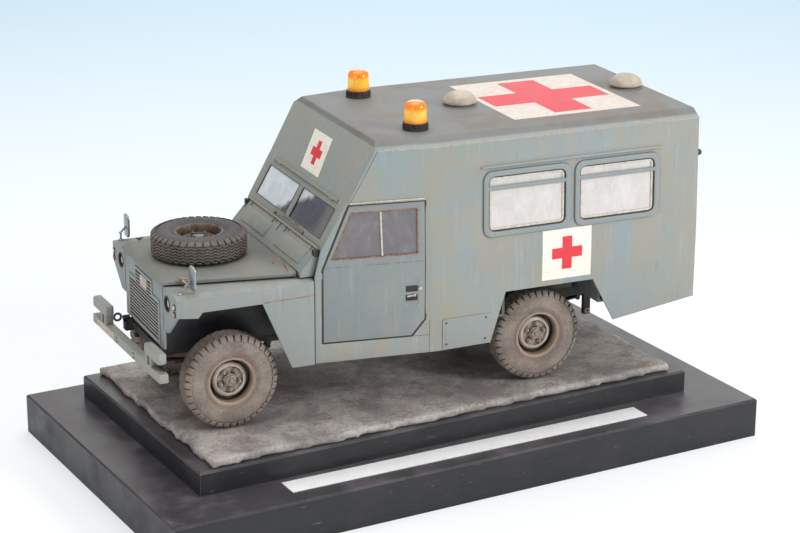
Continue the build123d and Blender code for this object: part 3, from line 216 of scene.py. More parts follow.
def addTurned(name, outline, steps=64, middle=Vector((0, 0, 0)), axis=(0, 1, 0), smooth=35):
    # an outline of radius and height in mm carried round an axis through the middle
    up = Vector(axis).normalized()
    side = up.orthogonal().normalized()
    points = [middle + side * (radius * mm) + up * (height * mm) for radius, height in outline]
    item = drawn(name, points)
    bpy.ops.mesh.spin(steps=steps, angle=math.tau, center=middle, axis=up)
    closeUp()
    bpy.ops.object.shade_smooth_by_angle(angle=math.radians(smooth))
    return item


def around(item, count, middle, axis):
    # copies of the whole mesh set evenly round an axis
    editing(item)
    bpy.ops.mesh.spin(steps=count - 1, dupli=True, angle=math.tau * (count - 1) / count, center=middle, axis=axis)
    bpy.ops.object.mode_set(mode="OBJECT")


def joined(name, items):
    only(items[0])
    for item in items:
        item.select_set(True)
    if len(items) > 1:
        bpy.ops.object.join()
    made = bpy.context.object
    made.name = name
    return made


def copied(item, name, matrix):
    # a copy with its own mesh, put in another place
    calm()
    made = bpy.data.objects.new(name, item.data.copy())
    bpy.context.scene.collection.objects.link(made)
    made.matrix_world = matrix @ item.matrix_world
    settle(made)
    if matrix.determinant() < 0:
        editing(made)
        closeUp()
    return made


mirror = Matrix.Diagonal((1, -1, 1, 1))


def softened(node, width, segments=2, skip=None):
    # a merged copy of a CAD node with rounded edges
    calm()
    item = bpy.data.objects.new("soft_" + node, nodes[node].data.copy())
    bpy.context.scene.collection.objects.link(item)
    item.matrix_world = nodes[node].matrix_world
    settle(item)
    editing(item)
    bpy.ops.mesh.remove_doubles(threshold=0.001 * mm)
    bpy.ops.mesh.dissolve_limited(angle_limit=math.radians(0.6))
    bpy.ops.object.mode_set(mode="OBJECT")
    if width:
        roundEdges(item, width, segments, 25, skip)
    return item


bodyOf = {node: body for body, group in frame["record"]["behaviour"]["bodies"].items() for node in group}
slotOf = {row["node"]: row["material_slot"] for row in frame["record"]["subparts"]}


def dress(item, body, slot, replaced=(), coat=None):
    # finish, carrier and what it stands for
    settle(item)
    item.data.materials.clear()
    item.data.materials.append(coat or finishes[slot])
    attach(item, body)
    if replaced:
        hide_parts(*replaced)


def redress(node, item, coat=None):
    # a piece that stands for one CAD node, on its body and in its slot
    dress(item, bodyOf[node], slotOf[node], (node,), coat)


def fit(name, parts, slot, coat, body="model"):
    # small parts joined into one added piece
    dress(joined(name, parts), body, slot, (), coat)


def bothSides(name, item, slot, coat, body="model"):
    # an added piece on the left and its mirror image on the right; a body that ends in _ takes the side's name
    for sideName, flip in (("left", Matrix.Identity(4)), ("right", mirror)):
        made = copied(item, name + "_" + sideName, flip)
        dress(made, body + sideName if body.endswith("_") else body, slot, (), coat)
    bpy.data.objects.remove(item)


def sidesOf(corners):
    # the outline's corners two by two, back to the first
    return zip(corners, corners[1:] + corners[:1])


# Shader maths
class Wire:
    # one output socket of a node; arithmetic on it adds Math nodes
    def __init__(self, shop, socket):
        self.shop = shop
        self.socket = socket

    def calc(self, operation, *values):
        return self.shop.node("ShaderNodeMath", {"operation": operation}, dict(enumerate(values)))

    def __add__(self, other):
        return self.calc("ADD", self, other)

    def __radd__(self, other):
        return self.calc("ADD", other, self)

    def __sub__(self, other):
        return self.calc("SUBTRACT", self, other)

    def __rsub__(self, other):
        return self.calc("SUBTRACT", other, self)

    def __mul__(self, other):
        return self.calc("MULTIPLY", self, other)

    def __rmul__(self, other):
        return self.calc("MULTIPLY", other, self)

    def __truediv__(self, other):
        return self.calc("DIVIDE", self, other)

    def __rtruediv__(self, other):
        return self.calc("DIVIDE", other, self)

    def __pow__(self, other):
        return self.calc("POWER", self, other)

    def greater(self, other):
        return self.calc("MAXIMUM", self, other)

    def lesser(self, other):
        return self.calc("MINIMUM", self, other)

    def size(self):
        return self.calc("ABSOLUTE", self)

    def step(self, low, high):
        # 0 below low, 1 above high, smooth between; a low above the high turns it round
        turned = low > high
        return self.shop.node(
            "ShaderNodeMapRange",
            {"interpolation_type": "SMOOTHSTEP", "clamp": True},
            {"Value": self, "From Min": high if turned else low, "From Max": low if turned else high,
             "To Min": 1.0 if turned else 0.0, "To Max": 0.0 if turned else 1.0},
        )


class PaintShop:
    # one material, with its node tree and the ways to add to it
    def __init__(self, name):
        self.material = bpy.data.materials.new(name)
        self.material.use_nodes = True
        self.tree = self.material.node_tree
        self.tree.nodes.clear()

    def node(self, kind, settings=None, values=None, output=0):
        made = self.tree.nodes.new(kind)
        for key, value in (settings or {}).items():
            setattr(made, key, value)
        for key, value in (values or {}).items():
            socket = made.inputs[key]
            if isinstance(value, Wire):
                self.tree.links.new(value.socket, socket)
            elif hasattr(value, "__len__") and len(value) == 3 and len(getattr(socket, "default_value", [])) == 4:
                socket.default_value = (*value, 1)
            else:
                socket.default_value = value
        return Wire(self, made.outputs[output]) if made.outputs else None

    def mix(self, mask, under, over):
        # colour over where the mask is 1
        return self.node("ShaderNodeMix", {"data_type": "RGBA"}, {0: mask, 6: under, 7: over}, 2)

    def objectPlace(self, shift=(0, 0, 0), scale=(1, 1, 1), turn=(0, 0, 0)):
        raw = self.node("ShaderNodeTexCoord", output=3)
        values = {"Vector": raw, "Location": shift, "Scale": scale, "Rotation": turn}
        return self.node("ShaderNodeMapping", None, values)

    def truckPlace(self):
        # Object coordinates turned into the truck's own frame, in mm
        return self.objectPlace((truck["rearAxleBack"], 0, -truck["stand"]), (1000, 1000, 1000))

    def stretch(self, place, scale, turn=(0, 0, 0)):
        return self.node("ShaderNodeMapping", None, {"Vector": place, "Scale": scale, "Rotation": turn})

    def axes(self, place):
        return [self.node("ShaderNodeSeparateXYZ", None, {0: place}, n) for n in range(3)]

    def noise(self, place, scale, detail=4, rough=0.55, warp=0.0):
        return self.node(
            "ShaderNodeTexNoise", None,
            {"Vector": place, "Scale": scale, "Detail": detail, "Roughness": rough, "Distortion": warp},
        )

    def cells(self, place, scale):
        return self.node("ShaderNodeTexVoronoi", None, {"Vector": place, "Scale": scale, "Randomness": 1.0})

    def bump(self, height, distance, strength=1.0):
        return self.node("ShaderNodeBump", None, {"Height": height, "Distance": distance, "Strength": strength})

    def layers(self, colour, *rows):
        # colours laid over one another, each where its mask is 1
        for mask, over in rows:
            colour = self.mix(mask, colour, over)
        return colour

    def facing(self, which):
        # how far the surface looks along an axis
        return self.node("ShaderNodeSeparateXYZ", None, {0: self.node("ShaderNodeNewGeometry", output=1)}, which)

    def edgeWear(self, radius):
        # 0 on flats, rising toward sharp edges: how far a rounded normal leans from the real one
        rounded = self.node("ShaderNodeBevel", {"samples": 4}, {"Radius": radius * mm})
        real = self.node("ShaderNodeNewGeometry", output=1)
        return 1 - self.node("ShaderNodeVectorMath", {"operation": "DOT_PRODUCT"}, {0: rounded, 1: real}, 1)

    def hollows(self, distance):
        # 1 in corners and recesses, 0 in the open
        return 1 - self.node(
            "ShaderNodeAmbientOcclusion", {"samples": 6, "only_local": False}, {"Distance": distance * mm}, 1
        )

    def finish(self, **values):
        shader = self.node("ShaderNodeBsdfPrincipled", None, {k.replace("_", " "): v for k, v in values.items()})
        self.node("ShaderNodeOutputMaterial", None, {"Surface": shader})
        return self.material


def boxMask(axis, low, high, soft=0.06):
    # 1 between two places on an axis, with a slightly soft border
    return axis.step(low - soft, low + soft) * axis.step(high + soft, high - soft)


def crossMask(a, b, cross):
    # an upright cross with equal arms
    arms = []
    for long, short, along, aside in ((a, b, *cross["middle"]), (b, a, *reversed(cross["middle"]))):
        arm = boxMask(long, along - cross["arm"], along + cross["arm"])
        arms.append(arm * boxMask(short, aside - cross["armHalf"], aside + cross["armHalf"]))
    return arms[0].greater(arms[1])


def wheelReach(shop, place, flat):
    # how far a point is from its wheel's axle; the spare lies flat
    x, y, z = shop.axes(place)
    a = x - truck["wheelbase"]
    b = y
    if not flat:
        a = x.size().lesser(a.size())
        b = z - truck["tyreRadius"]
    return (a * a + b * b) ** 0.5


# Colours, as light values
tone = {
    "green": (0.275, 0.305, 0.285), "blue": (0.262, 0.312, 0.325), "brown": (0.335, 0.300, 0.240),
    "pale": (0.54, 0.54, 0.50), "grimeAndShade": (0.050, 0.042, 0.034), "ochre": (0.40, 0.23, 0.11),
    "rust": (0.20, 0.085, 0.04), "white": (0.84, 0.80, 0.72), "oldWhite": (0.60, 0.53, 0.42),
    "red": (0.72, 0.035, 0.05), "dust": (0.30, 0.265, 0.215), "oldRed": (0.42, 0.03, 0.04),
}
wear = {"radius": 0.45, "edges": 0.55, "shadeReach": 2.6, "brushDepth": 0.00012}


def agedCoat(shop, place, brownish, rusty=0.7, tint=None):
    # brushed matt paint gone patchy, with worn edges, ochre stains, and near-black painted shade in the corners that
    # also stands for a dark wash
    x, y, z = shop.axes(place)
    patch = shop.noise(place, 0.035, 5, 0.62, 0.5)
    colour = shop.mix(patch.step(0.36, 0.64), tone["green"], tone["blue"])
    if tint:
        colour = shop.mix(tint[0], colour, tint[1])
    second = shop.noise(shop.stretch(place, (1, 1, 0.45)), 0.08, 7, 0.68, 0.8)
    streak = shop.noise(shop.stretch(place, (1.0, 1.0, 0.07)), 0.5, 6, 0.65)
    dark = shop.noise(shop.stretch(place, (1.0, 1.0, 0.12)), 0.7, 7, 0.72)
    wash = shop.noise(place, 0.055, 4, 0.55, 0.6)
    fleck = shop.noise(place, 2.4, 4, 0.65)
    chip = shop.noise(place, 1.7, 3, 0.6, 0.3)
    low = z.step(36, 20) * shop.noise(place, 0.25, 6, 0.7).step(0.35, 0.7)
    edge = shop.edgeWear(wear["radius"])
    worn = (edge * (0.35 + shop.noise(place, 1.1, 6, 0.75) * 2.0)).step(0.08, 0.30)
    stain = (edge * shop.noise(place, 0.45, 6, 0.78).step(0.42, 0.62) * 2.6).step(0.10, 0.45)
    deep = (edge * shop.noise(place, 0.8, 5, 0.7).step(0.52, 0.66) * 3.0).step(0.2, 0.6)
    colour = shop.layers(
        colour,
        (second.step(0.40, 0.70) * brownish, tone["brown"]),
        (streak.step(0.54, 0.78) * 0.30, tone["pale"]),
        (dark.step(0.56, 0.80) * 0.38, tone["grimeAndShade"]),
        (wash.step(0.52, 0.70) * brownish * 0.7, tone["brown"]),
        (fleck.step(0.66, 0.73) * 0.45, tone["grimeAndShade"]),
        (chip.step(0.70, 0.74) * 0.5, tone["pale"]),
        (low * 0.45, tone["dust"]),
        # painted shade: near-black laid into corners and recesses from an occlusion mask
        (shop.hollows(wear["shadeReach"]).step(0.22, 0.85) * 0.85, tone["grimeAndShade"]),
        (worn * wear["edges"], tone["pale"]),
        (stain * rusty, tone["ochre"]),
        (deep * rusty * 0.8, tone["rust"]),
    )
    brush = shop.noise(shop.stretch(place, (1, 1, 0.4)), 2.6, 5, 0.65)
    height = brush * 0.6 + second * 0.9 + fleck * 0.25
    roughness = 0.46 + patch * 0.18 + second * 0.14
    return colour, roughness, shop.bump(height, wear["brushDepth"], 0.55), worn


sideCross = {"middle": (-5.0, 50.1), "armHalf": 1.95, "arm": 5.93, "x": (-14.5, 4.6), "z": (40.8, 58.8)}
roofCross = {"middle": (-15.8, 0.86), "armHalf": 7.4, "arm": 22.9, "x": (-40.8, 9.2), "y": (-25.4, 27.2),
             "white": ((0.66, 0.59, 0.53), (0.56, 0.48, 0.42)), "red": (0.45, 0.03, 0.05)}
slopeCross = {"middle": (-0.2, 0.0), "armHalf": 1.5, "arm": 4.3, "z": (77.2, 89.4), "across": (-8.2, 7.8)}


def makeBodyPaint():
    # white fields with red crosses painted on both sides
    shop = PaintShop("oldBodyPaint")
    place = shop.truckPlace()
    x, y, z = shop.axes(place)
    colour, roughness, relief, worn = agedCoat(shop, place, 0.75)
    field = boxMask(x, *sideCross["x"]) * boxMask(z, *sideCross["z"]) * y.size().step(38.0, 39.0)
    red = crossMask(x, z, sideCross)
    age = shop.noise(place, 0.6, 6, 0.7)
    white = shop.mix(age.step(0.52, 0.75) * 0.5, tone["white"], tone["oldWhite"])
    redCoat = shop.mix(age.step(0.55, 0.8) * 0.5, tone["red"], tone["oldRed"])
    # the joints drawn in dark wash
    sill = boxMask(z, 27.0, 27.2, 0.08) * boxMask(x, 47.2, 53.6, 0.1)
    panel = boxMask(x, 47.2, 47.4, 0.08) * z.step(32.6, 32.2)
    broken = shop.noise(place, 0.35, 4, 0.7).step(0.36, 0.46)
    colour = shop.layers(
        colour,
        (field * (1 - worn * 0.6), shop.mix(red, white, redCoat)),
        (sill.greater(panel) * broken * 0.85, tone["grimeAndShade"]),
    )
    return shop.finish(Base_Color=colour, Roughness=roughness - field * 0.1, Normal=relief)


def makeRoofPaint():
    # a white field with a red cross on top and a small one on the slope
    shop = PaintShop("oldRoofPaint")
    place = shop.truckPlace()
    x, y, z = shop.axes(place)
    colour, roughness, relief, worn = agedCoat(shop, place, 0.75)
    upper = z.step(93.5, 94.2)
    dusty = shop.noise(place, 0.05, 6, 0.62, 0.4).step(0.46, 0.62)
    ringed = shop.hollows(4.0).step(0.12, 0.55) * shop.noise(place, 0.5, 5, 0.7).step(0.3, 0.6)
    colour = shop.layers(
        colour,
        (upper * 0.85, shop.mix(dusty, (0.168, 0.172, 0.172), (0.160, 0.134, 0.110))),
        (ringed * upper * 0.75, (0.24, 0.13, 0.07)),
    )
    field = boxMask(x, *roofCross["x"]) * boxMask(y, *roofCross["y"]) * upper
    red = crossMask(x, y, roofCross)
    across = y + (z - slopeCross["z"][0]) * 0.24
    slope = boxMask(z, *slopeCross["z"]) * boxMask(across, *slopeCross["across"])
    slope = slope * x.step(62.0, 64.0) * z.step(94.0, 93.4)
    smallRed = crossMask(across, (z - 83.3) * 1.16, slopeCross)
    age = shop.noise(place, 0.55, 6, 0.7)
    white = shop.mix(age.step(0.46, 0.75) * 0.6, tone["white"], tone["oldWhite"])
    redCoat = shop.mix(age.step(0.5, 0.8) * 0.5, tone["red"], tone["oldRed"])
    white = shop.layers(
        white,
        (upper, shop.mix(age.step(0.4, 0.7), *roofCross["white"])),
        (red * upper, shop.mix(upper * 0.3, redCoat, roofCross["red"])),
        (smallRed * z.step(93.5, 93.0), redCoat),
    )
    mask = field.greater(slope)
    colour = shop.mix(mask * (1 - worn * 0.6), colour, white)
    return shop.finish(Base_Color=colour, Roughness=roughness - mask * 0.1, Normal=relief)


def makePanelPaint(name, brownish=0.45, dust=0.0, rusty=0.7, tint=None, belt=False, paintedCabShadow=False):
    shop = PaintShop(name)
    place = shop.truckPlace()
    x, y, z = shop.axes(place)
    colour, roughness, relief, worn = agedCoat(shop, place, brownish, rusty, tint)
    if belt:
        # the bend under the door window, drawn in broken dark wash
        line = boxMask(z, 53.75, 53.95, 0.08) * x.step(48.8, 50.5)
        line = line * shop.noise(shop.stretch(place, (1, 1, 0)), 0.55, 4, 0.7).step(0.42, 0.55)
        colour = shop.mix(line * 0.8, colour, tone["grimeAndShade"])
    if paintedCabShadow:
        # painted shadow of the cab: the whole bonnet darkened a little, and toward the screen much more
        rear = x.step(112.0, 97.0) * y.step(24.0, 8.0)
        colour = shop.mix(0.35 + rear * 0.40, colour, (0.072, 0.078, 0.076))
    if dust:
        upward = shop.facing(2).step(0.3, 0.9)
        patch = shop.noise(place, 0.12, 7, 0.7).step(0.3, 0.7)
        colour = shop.mix(upward * (0.15 + patch * 0.6) * dust, colour, (0.170, 0.150, 0.120))
    return shop.finish(Base_Color=colour, Roughness=roughness, Normal=relief)


def makeBlackBoard():
    # scuffed gloss black, lighter on its upper faces, with patches of dust
    shop = PaintShop("scuffedBlackBoard")
    place = shop.truckPlace()
    grain = shop.noise(shop.stretch(place, (0.05, 1.0, 1.0), (0, 0, math.radians(-5.4))), 1.2, 6, 0.6)
    dusty = shop.noise(place, 0.05, 6, 0.65).step(0.42, 0.75)
    upward = shop.facing(2).step(0.5, 0.9)
    edge = (shop.edgeWear(0.6) * (0.4 + shop.noise(place, 0.8, 6, 0.8) * 2.0)).step(0.14, 0.42)
    scratch = shop.noise(shop.stretch(place, (0.12, 2.0, 2.0), (0, 0, 0.5)), 0.8, 3, 0.5).step(0.70, 0.74)
    speck = shop.noise(place, 1.6, 4, 0.6).step(0.69, 0.73)
    colour = shop.layers(
        (0.008, 0.009, 0.013),
        (grain.step(0.4, 0.7) * 0.5, (0.020, 0.019, 0.024)),
        (dusty * 0.08 + upward * (0.22 + dusty * 0.42), (0.17, 0.150, 0.162)),
        (edge * 0.45, (0.26, 0.23, 0.21)),
        (scratch.greater(speck) * 0.35, (0.25, 0.24, 0.24)),
    )
    roughness = 0.30 + dusty * 0.25 + grain * 0.1
    return shop.finish(Base_Color=colour, Roughness=roughness, Normal=shop.bump(grain, 0.0001, 0.5))


def makeGround():
    # painted plaster, pitted and dry-brushed pale, with painted shade under the truck and in hollows
    shop = PaintShop("plasterGround")
    place = shop.truckPlace()
    big = shop.noise(place, 0.045, 8, 0.68, 0.4)
    fine = shop.noise(place, 0.8, 8, 0.78)
    grit = shop.cells(place, 1.2)
    drag = shop.noise(place, 0.10, 6, 0.6)
    pits = shop.cells(place, 0.45).step(0.20, 0.08) * shop.noise(place, 0.12, 4, 0.6).step(0.5, 0.6)
    rim = (shop.edgeWear(0.9) * (0.5 + fine * 1.5)).step(0.10, 0.40)
    colour = shop.layers(
        shop.mix(big.step(0.38, 0.62), (0.245, 0.222, 0.215), (0.47, 0.43, 0.40)),
        (fine.step(0.48, 0.64) * 0.55, (0.120, 0.102, 0.094)),
        (fine.step(0.40, 0.28) * 0.7, (0.60, 0.54, 0.48)),
        (drag.step(0.52, 0.66) * 0.5, (0.165, 0.125, 0.105)),
        (pits * 0.8, (0.040, 0.034, 0.030)),
        (rim * 0.55, (0.66, 0.52, 0.40)),
        (grit.step(0.24, 0.08) * 0.35, (0.46, 0.42, 0.37)),
        # painted shade: darker under the truck and in the ground's own hollows, from an occlusion mask
        (shop.hollows(5.0).step(0.2, 0.9) * 0.55, (0.045, 0.038, 0.034)),
    )
    height = fine * 0.8 + big * 1.2 + grit.step(0.0, 0.5) * 0.3
    return shop.finish(Base_Color=colour, Roughness=0.9, Normal=shop.bump(height, 0.0003, 0.6))


def makeTyre(name, dusty, flat=False):
    # dusty sidewalls with a rusty band at the bead, darker grooves, painted shade in the hollows; the spare's are
    # cleaner and bluish
    shop = PaintShop(name)
    place = shop.truckPlace()
    reach = wheelReach(shop, place, flat)
    big = shop.noise(place, 0.10, 6, 0.65)
    fine = shop.noise(place, 1.6, 7, 0.75)

    def shade(*colour):
        return tuple(part * dusty for part in colour)

    dark = shade(0.165, 0.135, 0.118)
    colour = shop.mix(big.step(0.35, 0.7), dark, shade(0.30, 0.245, 0.212))
    if flat:
        colour = shop.mix(reach.step(15.6, 14.6) * (0.95 - big * 0.35), colour, (0.050, 0.050, 0.060))
    else:
        colour = shop.layers(
            colour,
            (boxMask(reach, 8.0, 9.6, 0.6) * (0.15 + big * 0.6), (0.28, 0.180, 0.125)),
            (boxMask(reach, 9.0, 9.2, 0.12) * 0.7, (0.10, 0.05, 0.035)),
            (boxMask(reach, 9.65, 9.8, 0.12) * 0.5, (0.13, 0.07, 0.05)),
        )
    worn = (shop.edgeWear(0.25) * (0.4 + fine * 1.8)).step(0.12, 0.5)
    colour = shop.layers(
        colour,
        (fine.step(0.45, 0.72) * 0.5, shade(0.37, 0.315, 0.27)),
        (fine.step(0.42, 0.28) * 0.4, tuple(part * 0.5 for part in dark)),
        # painted shade: near-black in the grooves and hollows, from an occlusion mask
        (shop.hollows(1.2).step(0.3, 0.95) * 0.75, (0.030, 0.025, 0.023)),
        (worn * 0.45, shade(0.52, 0.44, 0.37)),
    )
    return shop.finish(Base_Color=colour, Roughness=0.78, Normal=shop.bump(fine, 0.00012, 0.7))


def makeRim(name, flat=False):
    # a pale dish in a well darkened as painted shade, dark and rusty round its nuts, painted shade in the hollows; the
    # spare's is dark
    shop = PaintShop(name)
    place = shop.truckPlace()
    reach = wheelReach(shop, place, flat)
    big = shop.noise(place, 0.30, 6, 0.7).step(0.38, 0.62)
    fine = shop.noise(place, 1.9, 7, 0.75)
    if flat:
        colour = shop.mix(big, (0.075, 0.045, 0.035), (0.15, 0.105, 0.080))
        colour = shop.mix(fine.step(0.62, 0.74) * 0.4, colour, (0.40, 0.34, 0.28))
    else:
        colour = shop.layers(
            shop.mix(big, (0.40, 0.335, 0.285), (0.52, 0.45, 0.39)),
            (reach.step(7.0, 7.7) * 0.7, (0.36, 0.235, 0.165)),
            # painted shade: a near-black ring in the well round the dish
            (boxMask(reach, 6.6, 7.45, 0.2) * 0.85, (0.030, 0.024, 0.020)),
            (reach.step(4.75, 4.3) * 0.55,
             shop.mix(fine.step(0.46, 0.58), (0.060, 0.040, 0.034), (0.42, 0.27, 0.20))),
        )
    worn = (shop.edgeWear(0.22) * (0.4 + fine * 1.8)).step(0.10, 0.36)
    colour = shop.layers(
        colour,
        (fine.step(0.50, 0.72) * 0.45, (0.215, 0.095, 0.045)),
        # painted shade: near-black in the hollows, from an occlusion mask
        (shop.hollows(1.6).step(0.16, 0.62) * 0.95, (0.014, 0.011, 0.010)),
        (worn * 0.75, (0.66, 0.58, 0.52)),
    )
    return shop.finish(Base_Color=colour, Roughness=0.45, Normal=shop.bump(fine, 0.00014, 0.7))


def makeDull(name, colour, second, roughness, scale=0.4, metallic=0.0, wear=(0.3, 0.3, 0.28), wearing=0.5):
    shop = PaintShop(name)
    place = shop.truckPlace()
    cloud = shop.noise(place, scale, 6, 0.7)
    shade = shop.mix(cloud.step(0.35, 0.7), colour, second)
    # painted shade: the colour darkened in corners and recesses, from an occlusion mask
    shade = shop.mix(shop.hollows(2.2).step(0.3, 0.95) * 0.6, shade, tuple(c * 0.25 for c in colour))
    worn = (shop.edgeWear(0.3) * (0.4 + cloud * 1.6)).step(0.15, 0.5)
    shade = shop.mix(worn * wearing, shade, wear)
    return shop.finish(
        Base_Color=shade, Roughness=roughness, Metallic=metallic, Normal=shop.bump(cloud, 0.00008, 0.5)
    )


def makePane(name, colour, smeared, alpha, roughness, coat=0.0):
    # glass in a model's window: its own milkiness or dark, with wiped smears
    shop = PaintShop(name)
    place = shop.truckPlace()
    smear = shop.noise(shop.stretch(place, (1, 1, 0.6)), 0.16, 7, 0.7, 0.6)
    shade = shop.mix(smear.step(0.42, 0.72), colour, smeared)
    # painted shade: the glass darkened near its frame and in recesses, from an occlusion mask
    shade = shop.mix(shop.hollows(1.5).step(0.3, 0.9) * 0.6, shade, tuple(c * 0.3 for c in colour))
    return shop.finish(
        Base_Color=shade, Roughness=roughness + smear * 0.12, Alpha=alpha + smear * 0.06, Coat_Weight=coat
    )


def makeAmber():
    # deep orange at the crown and foot, a painted yellow glow round the middle, and a faint painted glow of its own
    shop = PaintShop("amberLens")
    place = shop.truckPlace()
    x, y, z = shop.axes(place)
    cloud = shop.noise(place, 0.5, 4, 0.6)
    # painted glow: a yellow band round the middle of the lens
    glow = boxMask(z + cloud, 99.4, 103.3, 0.9)
    shade = shop.mix(glow, (1.0, 0.25, 0.006), (1.0, 0.62, 0.06))
    return shop.finish(
        # painted glow: the lens gives off faint light in its own colour
        Base_Color=shade, Roughness=0.09, Transmission_Weight=0.35, IOR=1.45, Coat_Weight=0.6,
        Emission_Color=shade, Emission_Strength=0.22,
    )


def makeScreenPane():
    # a painted reflection of the pale backdrop, white high on the two panes, clear and dark low down on one side
    shop = PaintShop("screenPane")
    place = shop.truckPlace()
    x, y, z = shop.axes(place)
    drift = shop.noise(place, 0.12, 6, 0.65, 0.4)
    # painted reflection: white above a ragged line that climbs across the panes
    paintedReflection = (z - y * 0.42 - 67.0 + (drift - 0.5) * 7.0).step(-1.6, 1.4)
    clear = shop.mix(drift.step(0.4, 0.62), (0.030, 0.040, 0.062), (0.075, 0.095, 0.125))
    clear = shop.mix((y + drift * 4).step(23.0, 28.0) * 0.8, clear, (0.155, 0.140, 0.140))
    shade = shop.mix(paintedReflection, clear, shop.mix(drift.step(0.35, 0.7), (0.60, 0.68, 0.74), (0.78, 0.84, 0.87)))
    speck = shop.noise(place, 1.3, 4, 0.65).step(0.68, 0.74)
    shade = shop.mix(speck * 0.4, shade, (0.30, 0.27, 0.24))
    # painted shade: darker in the hollows, from an occlusion mask
    shade = shop.mix(shop.hollows(1.2).step(0.3, 0.9) * 0.5, shade, (0.05, 0.045, 0.04))
    return shop.finish(Base_Color=shade, Roughness=0.14 + paintedReflection * 0.2, Alpha=0.94 + paintedReflection * 0.05, Coat_Weight=0.8)


def makeGrille():
    # pale only along the panel's face; what lies deeper is painted near-black as shade
    shop = PaintShop("washedGrille")
    place = shop.truckPlace()
    colour, roughness, relief, worn = agedCoat(shop, place, 0.5)
    x, y, z = shop.axes(place)
    opening = boxMask(y, -14.7, 16.5, 0.1) * boxMask(z, 29.5, 43.1, 0.1)
    opening = opening.greater(boxMask(y, -7.3, 9.1, 0.1) * boxMask(z, 43.0, 47.7, 0.1))
    # painted shade: everything behind the face of the opening near-black
    deep = x.step(135.66, 135.5) * opening
    colour = shop.mix(deep * 0.96, colour, (0.016, 0.015, 0.015))
    return shop.finish(Base_Color=colour, Roughness=roughness, Normal=relief)


def makeVent():
    # rough putty, with painted shade in its hollows
    shop = PaintShop("puttyVent")
    place = shop.truckPlace()
    fine = shop.noise(place, 1.1, 8, 0.78)
    big = shop.noise(place, 0.25, 5, 0.6)
    colour = shop.layers(
        shop.mix(big.step(0.35, 0.7), (0.46, 0.40, 0.33), (0.60, 0.53, 0.45)),
        (fine.step(0.50, 0.72) * 0.55, (0.30, 0.25, 0.195)),
        (fine.step(0.35, 0.25) * 0.6, (0.70, 0.65, 0.57)),
        # painted shade: dark brown in the hollows, from an occlusion mask
        (shop.hollows(2.0).step(0.3, 0.95) * 0.7, (0.10, 0.075, 0.055)),
    )
    return shop.finish(Base_Color=colour, Roughness=0.85, Normal=shop.bump(fine, 0.0003, 0.9))


print("materials")
bodyPaint = makeBodyPaint()
roofPaint = makeRoofPaint()
panelPaint = makePanelPaint("oldPanelPaint", 0.4)
doorPaint = makePanelPaint("oldDoorPaint", 0.35, 0.0, 0.8, (0.62, (0.192, 0.228, 0.248)), True)
screenPaint = makePanelPaint("oldScreenPaint", 0.5, 0.0, 0.7, (0.45, (0.225, 0.225, 0.200)))
bonnetPaint = makePanelPaint("oldBonnetPaint", 0.6, 0.8, 0.8, (0.5, (0.20, 0.205, 0.180)), paintedCabShadow=True)
wingPaint = makePanelPaint("oldWingPaint", 0.3, 0.6, 1.0, (0.35, (0.245, 0.272, 0.282)))
framePaint = makePanelPaint("windowFramePaint", 0.2, 0.0, 0.4, (0.6, (0.230, 0.270, 0.290)))
bumperPaint = makePanelPaint("wornBumperPaint", 0.4, 0.3, 0.5, (0.45, (0.345, 0.345, 0.315)))
grillePaint = makeGrille()
blackBoard = makeBlackBoard()
groundCoat = makeGround()
tyreCoat = makeTyre("dustyTyre", 1.0)
spareCoat = makeTyre("spareTyre", 0.60, True)
rimCoat = makeRim("rustyRim")
spareRimCoat = makeRim("rustySpareRim", True)
blackCoat = makeDull("mattBlack", (0.022, 0.021, 0.022), (0.05, 0.045, 0.042), 0.62, 0.4, 0.0, (0.16, 0.13, 0.10))
archCoat = makeDull("satinArch", (0.016, 0.017, 0.022), (0.030, 0.030, 0.036), 0.38, 0.2, 0.0, (0.10, 0.09, 0.08), 0.2)
engineCoat = makeDull("dullEngineGrey", (0.07, 0.075, 0.07), (0.12, 0.11, 0.10), 0.7)
innerCoat = makeDull("cabGreen", (0.08, 0.09, 0.085), (0.11, 0.12, 0.11), 0.65)
seatCoat = makeDull("seatBlack", (0.030, 0.029, 0.029), (0.055, 0.05, 0.046), 0.5)
lampCoat = makeDull("lampSilver", (0.55, 0.55, 0.52), (0.35, 0.34, 0.31), 0.28, 0.4, 0.9)
pipeCoat = makeDull("rustyPipe", (0.16, 0.08, 0.045), (0.09, 0.055, 0.04), 0.85)
bronzeCoat = makeDull("bronzeBits", (0.20, 0.13, 0.08), (0.36, 0.27, 0.19), 0.5, 1.2, 0.3, (0.62, 0.52, 0.40))
brownSeam = makeDull("brownSeam", (0.13, 0.062, 0.032), (0.46, 0.235, 0.125), 0.7, 0.7, 0.0, (0.62, 0.40, 0.26), 0.7)
offWhite = makeDull("wornOffWhite", (0.66, 0.63, 0.56), (0.42, 0.37, 0.29), 0.55, 0.8, 0.0, (0.75, 0.72, 0.66))
plateCoat = makeDull("blankPlate", (0.56, 0.50, 0.45), (0.40, 0.30, 0.25), 0.6, 0.9, 0.0, (0.80, 0.72, 0.66), 0.8)
stripCoat = makeDull("blankStrip", (0.86, 0.86, 0.86), (0.80, 0.80, 0.80), 0.55, 0.15, 0.0, (0.9, 0.9, 0.9), 0.2)
mirrorCoat = makeDull("mirrorBlue", (0.30, 0.33, 0.35), (0.22, 0.25, 0.27), 0.3, 0.4, 0.5, (0.5, 0.5, 0.5))
frostedPane = makePane("frostedPane", (0.60, 0.57, 0.56), (0.70, 0.66, 0.64), 0.93, 0.22, 0.3)
doorPane = makePane("doorPane", (0.140, 0.130, 0.138), (0.195, 0.185, 0.195), 0.93, 0.20, 0.5)
screenPane = makeScreenPane()
